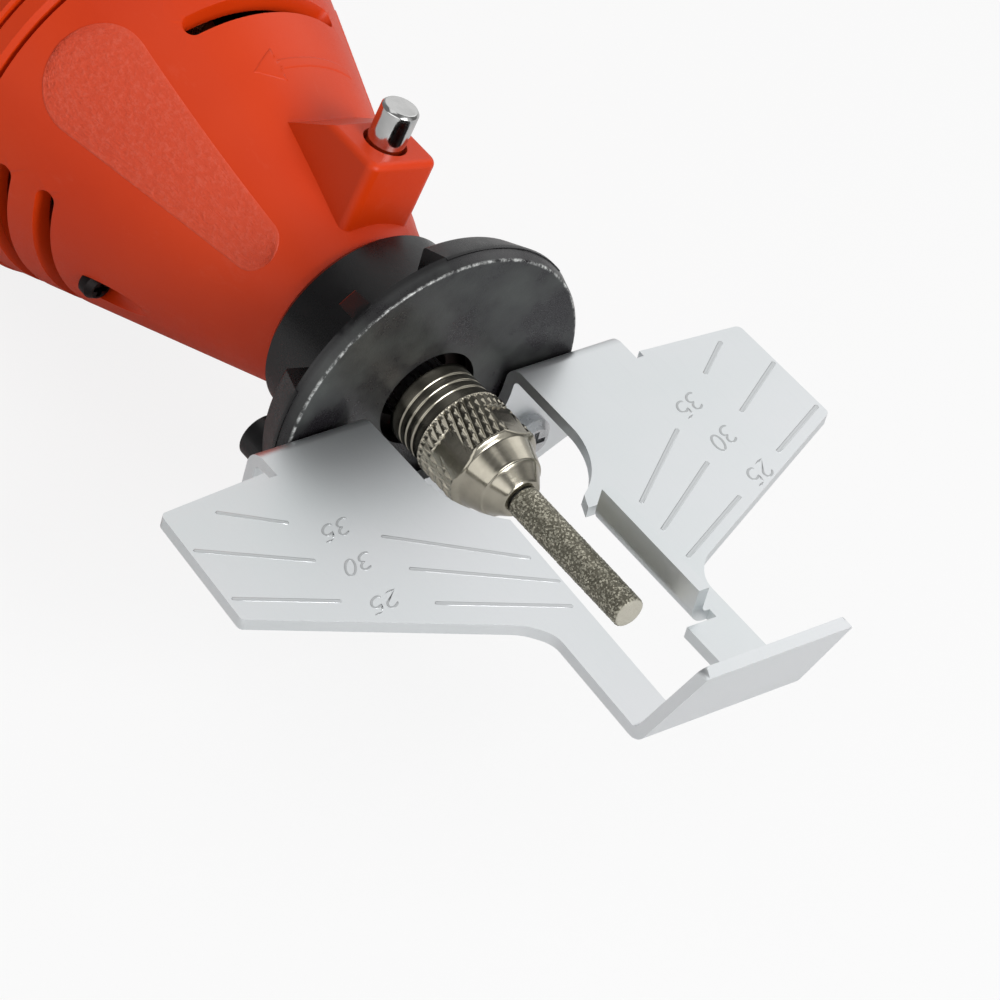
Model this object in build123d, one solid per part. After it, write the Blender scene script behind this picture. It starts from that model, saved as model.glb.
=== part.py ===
from build123d import *
import math
import os

# Handheld electric chainsaw sharpener: a mains rotary tool with a conical nose,
# a diamond burr in a collet, and an angle guide clamped on the nose.
#
# Frame, in millimetres: the origin is the centre of the collet mouth, on the
# spindle axis. +X runs out along the burr, +Z is square to the guide plate and
# +Y completes the right-handed set. The housing is rolled about X against the
# guide, so its own up direction is turned by body_roll.

# ---------------------------------------------------------------- driving sizes

# Burr, collet and collet nut
shank_r = 1.5875
burr_r = 2.0
burr_head_length = 20.4
burr_grip_length = 13.0
burr_tip_chamfer = 0.25
burr_neck_length = 0.4
collet_clearance = 0.02
collet_length = 12.6
collet_front_r = 2.45
collet_waist_r = 3.4
collet_rear_r = 2.55
collet_slit = 0.5
collet_slit_count = 4
collet_setback = 1.2
mouth_clearance = 0.16
nut_length = 18.0
nut_mouth_r = 2.5
nut_step_r = 4.0
nut_step_length = 2.1
nut_step_height = 0.25
nut_shoulder_r = 5.2
nut_nose_length = 4.9
nut_chamfer_length = 0.5
nut_knurl_r = 6.0
nut_knurl_length = 7.5
nut_tail_r = 5.6
nut_flat_distance = 5.48
nut_flat_length = 5.1
nut_flats = 4
nut_first_flat_angle = 155.0
nut_groove_depth = 0.15
nut_groove_width = 0.3
nut_grooves = 3
nut_groove_pitch = 1.2

# Spindle, bearings and spindle lock
spindle_r = 4.0
spindle_setback = 6.4
thread_clearance = 0.05
fit_clearance = 0.01
spindle_bore_clearance = 0.15
spindle_collar_r = 5.3
spindle_collar_length = 4.0
lock_ring_r = 6.6
lock_ring_length = 6.0
lock_holes = 4
lock_hole_clearance = 0.2
front_bearing_r = 11.0
front_bearing_width = 7.0
rear_bearing_r = 9.5
rear_bearing_width = 6.0
rear_journal_r = 3.0
bearing_outer_wall = 1.8
bearing_inner_wall = 2.2
bearing_shield = 0.6
bearing_gap = 0.25
retainer_thickness = 1.5
retainer_lip = 1.6

# Spindle lock pin in its boss on the nose
pin_setback = 40.1
pin_r = 2.35
pin_tip_r = 1.95
pin_flange_r = 3.0
pin_flange_thickness = 1.2
pin_proud = 5.1
pin_tip_gap = 0.7
pin_end_chamfer = 0.35
pin_hole_clearance = 0.4
chamber_clearance = 0.15
boss_top = 20.6
boss_half_width = 5.3
boss_front_setback = 35.7
boss_flat_length = 8.1
boss_ramp_length = 6.6
boss_ramp_drop = 4.4
boss_roof = 3.0
boss_edge_round = 0.9
bush_length = 2.4
bush_lift = 0.6
spring_wire_r = 0.25
spring_end_gap = 0.03
pin_spring_turns = 4
brush_spring_turns = 3
brush_spring_r = 1.6

# Housing shells
body_roll = -12.5
nose_front_r = 11.3
nose_rear_r = 26.1
nose_shoulder_x = -33.4
nose_rear_x = -75.6
nose_wall = 2.4
nose_bore_clearance = 1.0
stub_r = 9.6
stub_length = 11.6
joint_gap = 0.7
joint_depth = 1.0
spigot_length = 3.5
spigot_wall = 1.2
spigot_clearance = 0.05
band_length = 2.6
band_r = 27.2
groove_width = 0.6
groove_depth = 0.7
barrel_front_r = 27.9
barrel_rear_r = 25.4
barrel_length = 80.0
barrel_front_wall = 3.3
barrel_wall = 2.6
cap_length = 24.0
cap_rear_r = 20.5
cap_wall = 2.4
cap_round = 4.5

# Vent slots, nose screws and fan
slot_width = 2.5
slot_pitch = 6.0
slot_first_setback = 65.0
slot_rows = 2
top_slot_half_angle = 28.0
side_slot_start = 102.0
side_slot_end = 166.0
nose_screw_angle = 131.5
nose_screw_circle_r = 19.6
nose_screw_seat_x = -59.8
nose_screw_pocket_r = 2.1
nose_screw_r = 1.2
nose_screw_head_r = 1.9
nose_screw_length = 22.0
nose_boss_r = 2.75
screw_fit = 0.02
screw_tip_gap = 0.5
fan_r = 14.6
fan_length = 8.0
fan_setback = 62.5
fan_plate = 1.2
fan_hub_r = 7.0
fan_blades = 9
fan_blade_thickness = 1.2

# Motor
stator_setback = 7.7
stator_length = 28.0
stator_r = 22.6
stator_pole_r = 14.2
stator_tip_thickness = 2.2
stator_yoke = 3.4
stator_tip_half_angle = 52.0
stator_neck_half_angle = 18.0
stator_ribs = 4
stator_rib_width = 5.0
stator_stop_length = 4.0
coil_overhang = 5.0
coil_gap = 0.2
coil_start_angle = 19.5
coil_side_angle = 17.0
rotor_r = 13.5
rotor_slots = 12
rotor_slot_width = 2.6
rotor_slot_depth = 5.0
winding_bore_r = 6.0
winding_overhang = 6.5
winding_inset = 0.25
winding_round = 2.0
commutator_r = 8.5
commutator_length = 10.0
commutator_bars = 12
commutator_gap = 10.0
commutator_slit = 0.6
commutator_slit_depth = 0.7
riser_height = 1.2
riser_length = 1.5
brush_width = 5.0
brush_depth = 6.5
brush_length = 9.0
brush_gap = 0.3
holder_wall = 0.8
holder_lift = 1.6
brush_slip = 0.05
brush_cap_r = 5.0
brush_cap_recess = 0.6
brush_cap_length = 3.0
brush_cap_slot = 1.2
brush_tunnel_wall = 1.6
bulkhead_gap = 5.0
bulkhead_thickness = 2.6
bulkhead_windows = 4
bulkhead_window_angle = 58.0
bearing_cup_wall = 2.2

# Rear cap, switch and cord inlet
switch_setback = 11.0
switch_pad_top = 25.9
switch_pad_length = 20.0
switch_pad_width = 20.0
pad_thickness = 7.0
bezel_border = 1.4
bezel_thickness = 1.4
switch_wall = 1.2
switch_depth = 12.0
switch_pocket_low = 4.2
switch_fit = 0.05
rocker_angle = 11.0
rocker_r = 5.4
rocker_width = 7.4
rocker_gap = 0.35
rocker_proud = 1.5
rocker_dip = 0.45
rocker_pivot_r = 0.8
terminal_length = 3.5
cord_r = 3.3
grommet_wall = 1.6
grommet_length = 10.0
grommet_flange = 1.3
grommet_flange_r = 6.5
socket_wall = 2.2
side_vents = 3
side_vent_pitch = 14.0
side_vent_width = 2.2
side_vent_length = 9.0
side_vent_inner_r = 12.5
cap_screw_angle = 45.0
cap_screw_circle_r = 16.0
cap_screw_setback = 8.0
cap_screw_length = 20.0
cap_boss_r = 4.2
barrel_boss_r = 3.6
screw_r = 1.5
screw_head_r = 2.75
screw_head_length = 2.0
screw_pocket_r = 3.1
screw_slot_width = 0.7
capacitor_length = 14.0
capacitor_width = 10.0
capacitor_height = 7.5
capacitor_top_drop = 10.0
capacitor_setback = 17.0

# Guide holder
disc_x = -17.6
disc_r = 20.7
rim_r = 21.2
rim_length = 2.0
rim_chamfer = 0.25
dish_r = 20.2
dish_depth = 1.0
dish_bore_r = 6.6
holder_web = 1.5
holder_rear_gap = 0.3
holder_clearance = 0.05
collar_r = 13.0
collar_end_r = 12.2
collar_end_length = 0.8
ear_count = 3
first_ear_angle = 68.0
ear_angle = 56.0
ear_rear_r = 19.6
ear_length = 3.8
ear_back_length = 0.8
ear_round = 0.8
rib_angle = 7.0
guide_screw_y = 15.0
guide_screw_z = -8.4
guide_screw_length = 5.0
guide_boss_r = 3.0
guide_boss_length = 10.4

# Guide plate
plate_thickness = 1.5
plate_bottom = 1.0
bend_inner_r = 0.8
scale_slope_degrees = 25.0
wing_edge_x = 24.4
wing_half_span = 42.6
wing_rear_x = -12.3
wing_root_x = -13.3
wing_corner_r = 0.8
tongue_half_width = 26.2
relief_width = 1.1
relief_depth = 0.9
opening_half_width = 10.9
opening_bend_x = -5.0
opening_mid_x = 0.5
opening_mid_y = 9.1
opening_front_x = 4.3
leg_outer_y = 11.3
leg_round = 6.0
slot_left_y = -5.6
slot_right_y = 2.6
slot_corner_r = 1.0
slot_front_x = 34.4
flange_y = 4.2
flange_start_x = 7.4
flange_end_x = 25.4
flange_height = 3.8
lip_x = 38.6
lip_lean = 18.0
lip_height = 13.6
lip_base_half_width = 11.2
lip_top_half_width = 10.3
lip_corner_r = 1.2
wall_bottom_z = -18.5
wall_foot_half_width = 10.3
wall_corner_z = -9.6
wall_corner_r = 1.0

# ------------------------------------------------------------- derived stations

stub_front_x = nose_shoulder_x + stub_length
pin_x = -pin_setback
lock_cavity_r = lock_ring_r + nose_bore_clearance
lock_ring_front_x = pin_x + lock_ring_length / 2
lock_ring_rear_x = pin_x - lock_ring_length / 2
front_bearing_x = lock_ring_rear_x - bearing_gap
front_bearing_rear_x = front_bearing_x - front_bearing_width
chamber_r = pin_flange_r + chamber_clearance
chamber_top = boss_top - boss_roof
bush_low = lock_cavity_r + bush_lift
socket_r = nose_rear_r - nose_wall
socket_x = nose_rear_x + spigot_length
barrel_x = nose_rear_x - joint_gap
band_x = barrel_x - band_length
barrel_rear_x = barrel_x - barrel_length
cap_x = barrel_rear_x - joint_gap
cap_rear_x = cap_x - cap_length
stator_x = barrel_x - stator_setback
stator_rear_x = stator_x - stator_length
commutator_x = stator_rear_x - commutator_gap
commutator_rear_x = commutator_x - commutator_length
bulkhead_x = commutator_rear_x - bulkhead_gap
switch_x = cap_x - switch_setback
cap_screw_seat_x = cap_x - cap_screw_setback
capacitor_x = cap_x - capacitor_setback
rear_bearing_x = bulkhead_x - bulkhead_thickness
rear_bearing_rear_x = rear_bearing_x - rear_bearing_width
bearing_cup_r = rear_bearing_r + bearing_cup_wall
brush_x = commutator_x - commutator_length / 2 - riser_length / 2
rim_rear_x = disc_x - rim_length
holder_rear_x = nose_shoulder_x + holder_rear_gap
plate_top = plate_bottom + plate_thickness
bend_outer_r = bend_inner_r + plate_thickness
nose_slope = (nose_rear_r - nose_front_r) / (nose_shoulder_x - nose_rear_x)
barrel_slope = (barrel_front_r - barrel_rear_r) / (barrel_length - band_length)
grommet_r = cord_r + grommet_wall
pivot_z = switch_pad_top + bezel_thickness - 0.3
cavity_half_length = math.hypot(rocker_r, rocker_proud) + rocker_gap
cavity_half_width = rocker_width / 2 + rocker_gap
case_half_length = cavity_half_length + switch_wall
case_half_width = cavity_half_width + switch_wall


def nose_r(x):
    """Outer radius of the nose cone at x."""
    return nose_front_r + nose_slope * (nose_shoulder_x - x)


def barrel_r(x):
    """Outer radius of the barrel at x, behind its front band."""
    return barrel_front_r - barrel_slope * (band_x - x)


# -------------------------------------------------------------- shape functions

def turned(*outline):
    """Solid of revolution about the spindle axis from (x, radius) points."""
    points = [(x, 0, radius) for x, radius in outline]
    return revolve(make_face(Polyline(*points, close=True)), Axis.X)


def rod(x_front, x_rear, radius):
    """Round bar on the spindle axis."""
    return Pos((x_front + x_rear) / 2, 0, 0) * Rot(0, 90, 0) * Cylinder(radius, x_front - x_rear)


def tube(x_front, x_rear, inner_r, outer_r):
    """Round tube on the spindle axis."""
    return rod(x_front, x_rear, outer_r) - rod(x_front, x_rear, inner_r)


def rod_at(x_front, x_rear, radius, place):
    """Round bar parallel to the spindle axis, at a place in y and z."""
    return Pos(0, place[0], place[1]) * rod(x_front, x_rear, radius)


def post(x, z_low, z_high, radius):
    """Round bar square to the spindle axis, along Z."""
    return Pos(x, 0, (z_low + z_high) / 2) * Cylinder(radius, z_high - z_low)


def block(x_low, x_high, y_low, y_high, z_low, z_high):
    """Rectangular block between two corners."""
    centre = ((x_low + x_high) / 2, (y_low + y_high) / 2, (z_low + z_high) / 2)
    return Pos(*centre) * Box(x_high - x_low, y_high - y_low, z_high - z_low)


def bar(x_low, x_high, half_y, z_low, z_high):
    """Rectangular block centred on the XZ plane."""
    return block(x_low, x_high, -half_y, half_y, z_low, z_high)


def polar(radius, degrees):
    """y and z of a point at a radius and angle about the spindle axis."""
    angle = math.radians(degrees)
    return radius * math.cos(angle), radius * math.sin(angle)


def around(shape, degrees):
    """Shape turned about the spindle axis."""
    return Rot(degrees, 0, 0) * shape


def sector(x_front, x_rear, inner_r, outer_r, start, span):
    """Part of a tube, from an angle measured from +Y, over a span."""
    outline = [(x_front, inner_r), (x_front, outer_r), (x_rear, outer_r), (x_rear, inner_r)]
    points = [(x, radius, 0) for x, radius in outline]
    face = make_face(Polyline(*points, close=True))
    return around(revolve(face, Axis.X, revolution_arc=span), start)


def arc_slot(x_middle, width, inner_r, outer_r, start, end):
    """Cutter for a slot that runs round the axis, with round ends."""
    cutter = sector(x_middle + width / 2, x_middle - width / 2, inner_r, outer_r, start, end - start)
    for degrees in (start, end):
        cutter += around(post(x_middle, inner_r, outer_r, width / 2), degrees - 90)
    return cutter


def pan_screw(length, shaft_r, head_r):
    """Pan-head screw on X with its seat at the origin and its head towards +X."""
    head = turned((0, 0), (0, head_r), (screw_head_length * 0.6, head_r),
                  (screw_head_length, head_r * 0.7), (screw_head_length, 0))
    recess = bar(screw_head_length * 0.55, 10, screw_slot_width / 2, -head_r * 0.55, head_r * 0.55)
    return head + rod(0, -length, shaft_r) - recess - around(recess, 90)


def coil_spring(x, z_low, z_high, radius, turns):
    """Round-wire spring standing along Z."""
    height = z_high - z_low - 2 * spring_wire_r - 2 * spring_end_gap
    path = Helix(pitch=height / turns, height=height, radius=radius)
    section = Plane(origin=path @ 0, z_dir=path % 0) * Circle(spring_wire_r)
    wire = sweep(section, path=path, is_frenet=True)
    return Pos(x, 0, z_low + spring_wire_r + spring_end_gap) * wire


def both_sides(shape):
    """A shape made along +Z, set along the housing's two sides."""
    return around(shape, 90), around(shape, -90)


nodes = {}


def keep(name, *solids):
    """Store one named piece, or a group of identical ones."""
    nodes[name] = solids[0] if len(solids) == 1 else Compound(children=list(solids))


# ------------------------------------------------------- burr, collet and nut

def make_burr():
    """Diamond burr: ground shank and a thicker grit-coated head with a blunt tip."""
    rear = -collet_setback - burr_grip_length
    return turned(
        (rear, 0), (rear, shank_r - 0.2), (rear + 0.2, shank_r), (0, shank_r),
        (burr_neck_length, burr_r), (burr_head_length - burr_tip_chamfer, burr_r),
        (burr_head_length, burr_r - burr_tip_chamfer), (burr_head_length, 0))


def collet_outline(grow):
    """Solid of the collet's two cones, grown by a clearance."""
    front = -collet_setback + grow
    waist = -spindle_setback
    rear = -collet_setback - collet_length - grow
    return turned((front, 0), (front, collet_front_r + grow), (waist + 1, collet_waist_r + grow),
                  (waist, collet_waist_r + grow), (rear, collet_rear_r + grow), (rear, 0))


def make_collet():
    """Double-cone collet, bored for the shank and split from the front."""
    front = -collet_setback
    body = collet_outline(0) - rod(1, -nut_length, shank_r + collet_clearance)
    slit = bar(front - collet_length * 0.75, 1, collet_slit / 2, 0, nut_knurl_r)
    for index in range(collet_slit_count):
        body -= around(slit, 360 / collet_slit_count * (index + 0.5))
    return body


def make_collet_nut():
    """Collet nut: stepped cone nose, spanner flats, knurled band and a plain grooved tail."""
    knurl_x = -nut_nose_length
    knurl_rear = knurl_x - nut_knurl_length
    body = turned(
        (0, 0), (0, nut_mouth_r), (-nut_step_length, nut_step_r),
        (-nut_step_length, nut_step_r + nut_step_height), (knurl_x, nut_shoulder_r),
        (knurl_x - nut_chamfer_length, nut_knurl_r), (knurl_rear + 0.3, nut_knurl_r),
        (knurl_rear, nut_tail_r), (-nut_length, nut_tail_r), (-nut_length, 0))
    cut = bar(knurl_x - nut_flat_length, 1, 2 * nut_knurl_r, nut_flat_distance, 2 * nut_knurl_r)
    for index in range(nut_flats):
        body -= around(cut, nut_first_flat_angle - 90 + 360 / nut_flats * index)
    for index in range(nut_grooves):
        x = knurl_rear - 1.1 - nut_groove_pitch * index
        body -= tube(x, x - nut_groove_width, nut_tail_r - nut_groove_depth, nut_tail_r + 1)
    body -= collet_outline(0.1) + rod(1, -collet_setback, shank_r + mouth_clearance)
    return body - rod(-spindle_setback + 0.8, -nut_length - 1, spindle_r + thread_clearance)


def make_spindle():
    """Spindle: threaded nose with the collet seat, bearing seats, collar and rear journal."""
    front = -spindle_setback
    rear = rear_bearing_rear_x - 1.5
    collar_x = front_bearing_rear_x
    body = turned(
        (front, 0), (front, spindle_r - 0.2), (front - 0.2, spindle_r), (collar_x, spindle_r),
        (collar_x, spindle_collar_r), (collar_x - spindle_collar_length, spindle_collar_r),
        (collar_x - spindle_collar_length, spindle_r), (rear_bearing_x + 0.5, spindle_r),
        (rear_bearing_x, rear_journal_r), (rear, rear_journal_r), (rear, 0))
    shank_way = rod(0, -collet_setback - burr_grip_length - 4, shank_r + spindle_bore_clearance)
    return body - collet_outline(fit_clearance) - shank_way


def make_lock_ring():
    """Hardened ring on the spindle with radial holes that the lock pin drops into."""
    ring = tube(lock_ring_front_x, lock_ring_rear_x, spindle_r + fit_clearance, lock_ring_r)
    hole = post(pin_x, 0, lock_ring_r + 1, pin_tip_r + lock_hole_clearance)
    for index in range(lock_holes):
        ring -= around(hole, 360 / lock_holes * index)
    return ring


def make_bearing_outer(x_front, width, outer_r, bore_r):
    """Outer ring of a sealed ball bearing with its two shields."""
    race_r = outer_r - bearing_outer_wall
    shield_r = bore_r + bearing_inner_wall + bearing_gap
    ring = tube(x_front, x_front - width, race_r, outer_r - fit_clearance)
    for x in (x_front - 0.2, x_front - width + 0.2 + bearing_shield):
        ring += tube(x, x - bearing_shield, shield_r, race_r)
    return ring


def make_bearing_inner(x_front, width, bore_r):
    """Inner ring of a ball bearing."""
    return tube(x_front, x_front - width, bore_r + fit_clearance, bore_r + bearing_inner_wall)


# -------------------------------------------------------------- nose housing

def nose_screw_places():
    """y and z of the two screws that join nose and barrel."""
    return [polar(nose_screw_circle_r, 90 + side * nose_screw_angle) for side in (1, -1)]


def nose_cone():
    """The nose's outer cone as a solid."""
    return turned((nose_shoulder_x, 0), (nose_shoulder_x, nose_front_r), (nose_rear_x, nose_rear_r),
                  (nose_rear_x, 0))


def lock_boss():
    """Wedge-shaped boss on the nose: upright front, flat top and a ramp down to the cone."""
    front = -boss_front_setback
    flat_end = front - boss_flat_length
    ramp_end = flat_end - boss_ramp_length
    side = Polyline((front, 0, 6), (front, 0, boss_top), (flat_end, 0, boss_top),
                    (ramp_end, 0, boss_top - boss_ramp_drop), (ramp_end, 0, 6), close=True)
    boss = extrude(make_face(side), boss_half_width, both=True, dir=(0, 1, 0))
    boss = fillet(boss.edges().filter_by(Axis.Z).group_by(Axis.X)[-1], boss_edge_round * 1.5)
    return fillet(boss.edges().group_by(Axis.Z)[-1], boss_edge_round)


def nose_slots():
    """Cutters for the vent slots: a top group and a longer group on each side."""
    groups = [(90 - top_slot_half_angle, 90 + top_slot_half_angle),
              (90 + side_slot_start, 90 + side_slot_end),
              (90 - side_slot_end, 90 - side_slot_start)]
    cutters = []
    for row in range(slot_rows):
        x = -slot_first_setback - slot_pitch * row
        for start, end in groups:
            cutters.append(arc_slot(x, slot_width, nose_r(x) - nose_wall - 2, nose_r(x) + 3, start, end))
    return cutters


def make_nose_housing():
    """Moulded nose: threaded stub, cone with vent slots, lock pin boss and bearing seat."""
    inner_x = front_bearing_rear_x
    inner_r = nose_r(socket_x) - nose_wall
    body = turned((stub_front_x, 0), (stub_front_x, stub_r - 0.5), (stub_front_x - 0.5, stub_r),
                  (nose_shoulder_x - 1, stub_r), (nose_shoulder_x - 1, 0))
    body += nose_cone() + lock_boss()
    body -= turned((inner_x, 0), (inner_x, nose_r(inner_x) - nose_wall), (socket_x, inner_r),
                   (socket_x, socket_r), (nose_rear_x - 1, socket_r), (nose_rear_x - 1, 0))
    body -= rod(0, inner_x - 1, spindle_r + nose_bore_clearance)
    body -= rod(lock_ring_front_x + 0.4, inner_x - 1, lock_cavity_r)
    body -= rod(front_bearing_x, inner_x - 1, front_bearing_r)
    for place in nose_screw_places():
        body += rod_at(nose_screw_seat_x + 3, nose_rear_x, nose_boss_r, place) & nose_cone()
        body -= rod_at(0, nose_screw_seat_x, nose_screw_pocket_r, place)
        body -= rod_at(0, nose_rear_x - 1, nose_screw_r + screw_fit, place)
    for cutter in nose_slots():
        body -= cutter
    body -= post(pin_x, 0, boss_top + 1, pin_r + pin_hole_clearance)
    return body - post(pin_x, 0, chamber_top, chamber_r)


def make_lock_pin():
    """Spindle lock pin: push end, retaining flange and locking tip."""
    tip = lock_ring_r + pin_tip_gap
    flange_top = chamber_top - fit_clearance
    flange_low = flange_top - pin_flange_thickness
    body = post(pin_x, tip, flange_low, pin_tip_r) + post(pin_x, flange_low, flange_top, pin_flange_r)
    body += post(pin_x, flange_top, boss_top + pin_proud, pin_r)
    return chamfer(body.edges().group_by(Axis.Z)[-1], pin_end_chamfer)


def make_lock_bush():
    """Steel bush pressed into the foot of the pin's chamber; the spring stands on it."""
    ring = post(pin_x, bush_low, bush_low + bush_length, chamber_r - fit_clearance)
    return ring - post(pin_x, 0, bush_low + bush_length + 1, pin_tip_r + thread_clearance)


def make_lock_spring():
    """Compression spring under the pin's flange."""
    high = chamber_top - pin_flange_thickness - fit_clearance
    middle_r = pin_tip_r + 0.15 + spring_wire_r
    return coil_spring(pin_x, bush_low + bush_length, high, middle_r, pin_spring_turns)


def make_retainer():
    """Ring pressed in behind the front bearing."""
    x = front_bearing_rear_x
    outer_r = nose_r(x) - nose_wall - fit_clearance
    return tube(x, x - retainer_thickness, front_bearing_r - retainer_lip, outer_r)


# ---------------------------------------------------------------------- motor

def make_fan():
    """Radial fan: hub, back plate and straight blades."""
    front = -fan_setback
    rear = front - fan_length
    fan = rod(front, rear, fan_hub_r) + rod(rear + fan_plate, rear, fan_r)
    blade = bar(rear, front - 0.8, fan_blade_thickness / 2, fan_hub_r - 1, fan_r - 0.3)
    for index in range(fan_blades):
        fan += around(blade, 360 / fan_blades * index)
    return fan - rod(front + 1, rear - 1, spindle_r + fit_clearance)


def make_rotor_core():
    """Laminated rotor stack with winding slots."""
    core = rod(stator_x, stator_rear_x, rotor_r)
    slot = bar(stator_rear_x - 1, stator_x + 1, rotor_slot_width / 2, rotor_r - rotor_slot_depth, rotor_r + 1)
    for index in range(rotor_slots):
        core -= around(slot, 360 / rotor_slots * index)
    return core - rod(stator_x + 1, stator_rear_x - 1, spindle_r + fit_clearance)


def make_rotor_winding():
    """Rotor winding: bars in the slots and rounded end turns."""
    high = rotor_r - 1.0
    winding = None
    for x, way in ((stator_x, 1), (stator_rear_x, -1)):
        far = x + way * winding_overhang
        end = turned((x, winding_bore_r), (x, high), (far - way * winding_round, high),
                     (far, high - winding_round), (far, winding_bore_r))
        winding = end if winding is None else winding + end
    slot_bar = bar(stator_rear_x - 1, stator_x + 1, rotor_slot_width / 2 - winding_inset,
                   rotor_r - rotor_slot_depth + winding_inset, high)
    for index in range(rotor_slots):
        winding += around(slot_bar, 360 / rotor_slots * index)
    return winding


def make_commutator():
    """Commutator: bars parted by slits, a riser at the winding end and an insulated hub."""
    body = tube(stator_rear_x, commutator_rear_x, spindle_r + fit_clearance, winding_bore_r - coil_gap)
    body += rod(commutator_x, commutator_rear_x, commutator_r)
    body += rod(commutator_x, commutator_x - riser_length, commutator_r + riser_height)
    slit = bar(commutator_rear_x - 1, commutator_x + 0.01, commutator_slit / 2,
               commutator_r - commutator_slit_depth, commutator_r + 3)
    for index in range(commutator_bars):
        body -= around(slit, 360 / commutator_bars * (index + 0.5))
    return body - rod(stator_rear_x + 1, commutator_rear_x - 1, spindle_r + fit_clearance)


def make_stator_core():
    """Two-pole laminated field core."""
    core = tube(stator_x, stator_rear_x, stator_r - stator_yoke, stator_r)
    for middle in (90, 270):
        core += sector(stator_x, stator_rear_x, stator_pole_r, stator_pole_r + stator_tip_thickness,
                       middle - stator_tip_half_angle, 2 * stator_tip_half_angle)
        core += sector(stator_x, stator_rear_x, stator_pole_r + 1, stator_r - 1,
                       middle - stator_neck_half_angle, 2 * stator_neck_half_angle)
    return core


def make_stator_coils():
    """The two field coils, wound round the pole necks."""
    coils = []
    inner_r = stator_pole_r + stator_tip_thickness + coil_gap
    outer_r = stator_r - stator_yoke - coil_gap
    reach = coil_start_angle + coil_side_angle
    for middle in (90, 270):
        coil = sector(stator_x + coil_overhang, stator_x, inner_r, outer_r, middle - reach, 2 * reach)
        coil += sector(stator_rear_x, stator_rear_x - coil_overhang, inner_r, outer_r, middle - reach,
                       2 * reach)
        for start in (middle - reach, middle + coil_start_angle):
            coil += sector(stator_x + 1, stator_rear_x - 1, inner_r, outer_r, start, coil_side_angle)
        coils.append(coil)
    return coils


# -------------------------------------------------------------------- brushes

def brush_foot():
    """Radius of the brushes' contact faces."""
    return commutator_r + brush_gap


def cap_seat():
    """Radius of the brush caps' inner faces."""
    return barrel_r(brush_x) - brush_cap_recess - brush_cap_length


def make_brushes():
    """Carbon brushes, bearing on the commutator."""
    return both_sides(bar(brush_x - brush_depth / 2, brush_x + brush_depth / 2, brush_width / 2,
                          brush_foot(), brush_foot() + brush_length))


def make_brush_holders():
    """Square brass tubes that guide the brushes."""
    half_x = brush_depth / 2 + brush_slip
    half_y = brush_width / 2 + brush_slip
    low = commutator_r + holder_lift
    outer = bar(brush_x - half_x - holder_wall, brush_x + half_x + holder_wall, half_y + holder_wall,
                low, cap_seat())
    return both_sides(outer - bar(brush_x - half_x, brush_x + half_x, half_y, low - 1, cap_seat() + 1))


def make_brush_springs():
    """Springs between the brush caps and the brushes."""
    return both_sides(coil_spring(brush_x, brush_foot() + brush_length, cap_seat(), brush_spring_r,
                                  brush_spring_turns))


def make_brush_caps():
    """Slotted screw caps over the brushes, flush in the barrel's sides."""
    top = cap_seat() + brush_cap_length
    cap = post(brush_x, cap_seat(), top, brush_cap_r - thread_clearance)
    reach = brush_cap_r - 1
    return both_sides(cap - bar(brush_x - reach, brush_x + reach, brush_cap_slot / 2, top - 1, top + 1))


# --------------------------------------------------------------------- barrel

def cap_screw_places():
    """y and z of the two screws that join barrel and rear cap."""
    return [polar(cap_screw_circle_r, 270 + side * cap_screw_angle) for side in (1, -1)]


def bulkhead():
    """Wall across the barrel's rear with the rear bearing's cup and air windows."""
    rim_r = barrel_r(bulkhead_x) - barrel_wall + 0.2
    wall = rod(bulkhead_x, bulkhead_x - bulkhead_thickness, rim_r)
    wall += rod(bulkhead_x, rear_bearing_rear_x, bearing_cup_r)
    for index in range(bulkhead_windows):
        start = 360 / bulkhead_windows * index - bulkhead_window_angle / 2
        wall -= sector(bulkhead_x + 1, bulkhead_x - bulkhead_thickness - 1, bearing_cup_r + 1.2,
                       rim_r - 3.5, start, bulkhead_window_angle)
    wall -= rod(rear_bearing_x, rear_bearing_rear_x - 1, rear_bearing_r)
    return wall - rod(bulkhead_x + 1, rear_bearing_x - 1, rear_bearing_r - 2.5)


def brush_tunnels():
    """Two round bosses across the barrel wall for the brush holders and caps."""
    radius = brush_cap_r + brush_tunnel_wall
    return both_sides(post(brush_x, commutator_r + 4.0, barrel_r(brush_x) - 0.8, radius))


def brush_bores():
    """Cutters for the brush holders' square holes and the caps' round ones."""
    half_x = brush_depth / 2 + brush_slip + holder_wall + fit_clearance
    half_y = brush_width / 2 + brush_slip + holder_wall + fit_clearance
    hole = bar(brush_x - half_x, brush_x + half_x, half_y, commutator_r + 1, barrel_rear_r)
    return both_sides(hole + post(brush_x, cap_seat(), barrel_front_r + 3, brush_cap_r))


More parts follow.
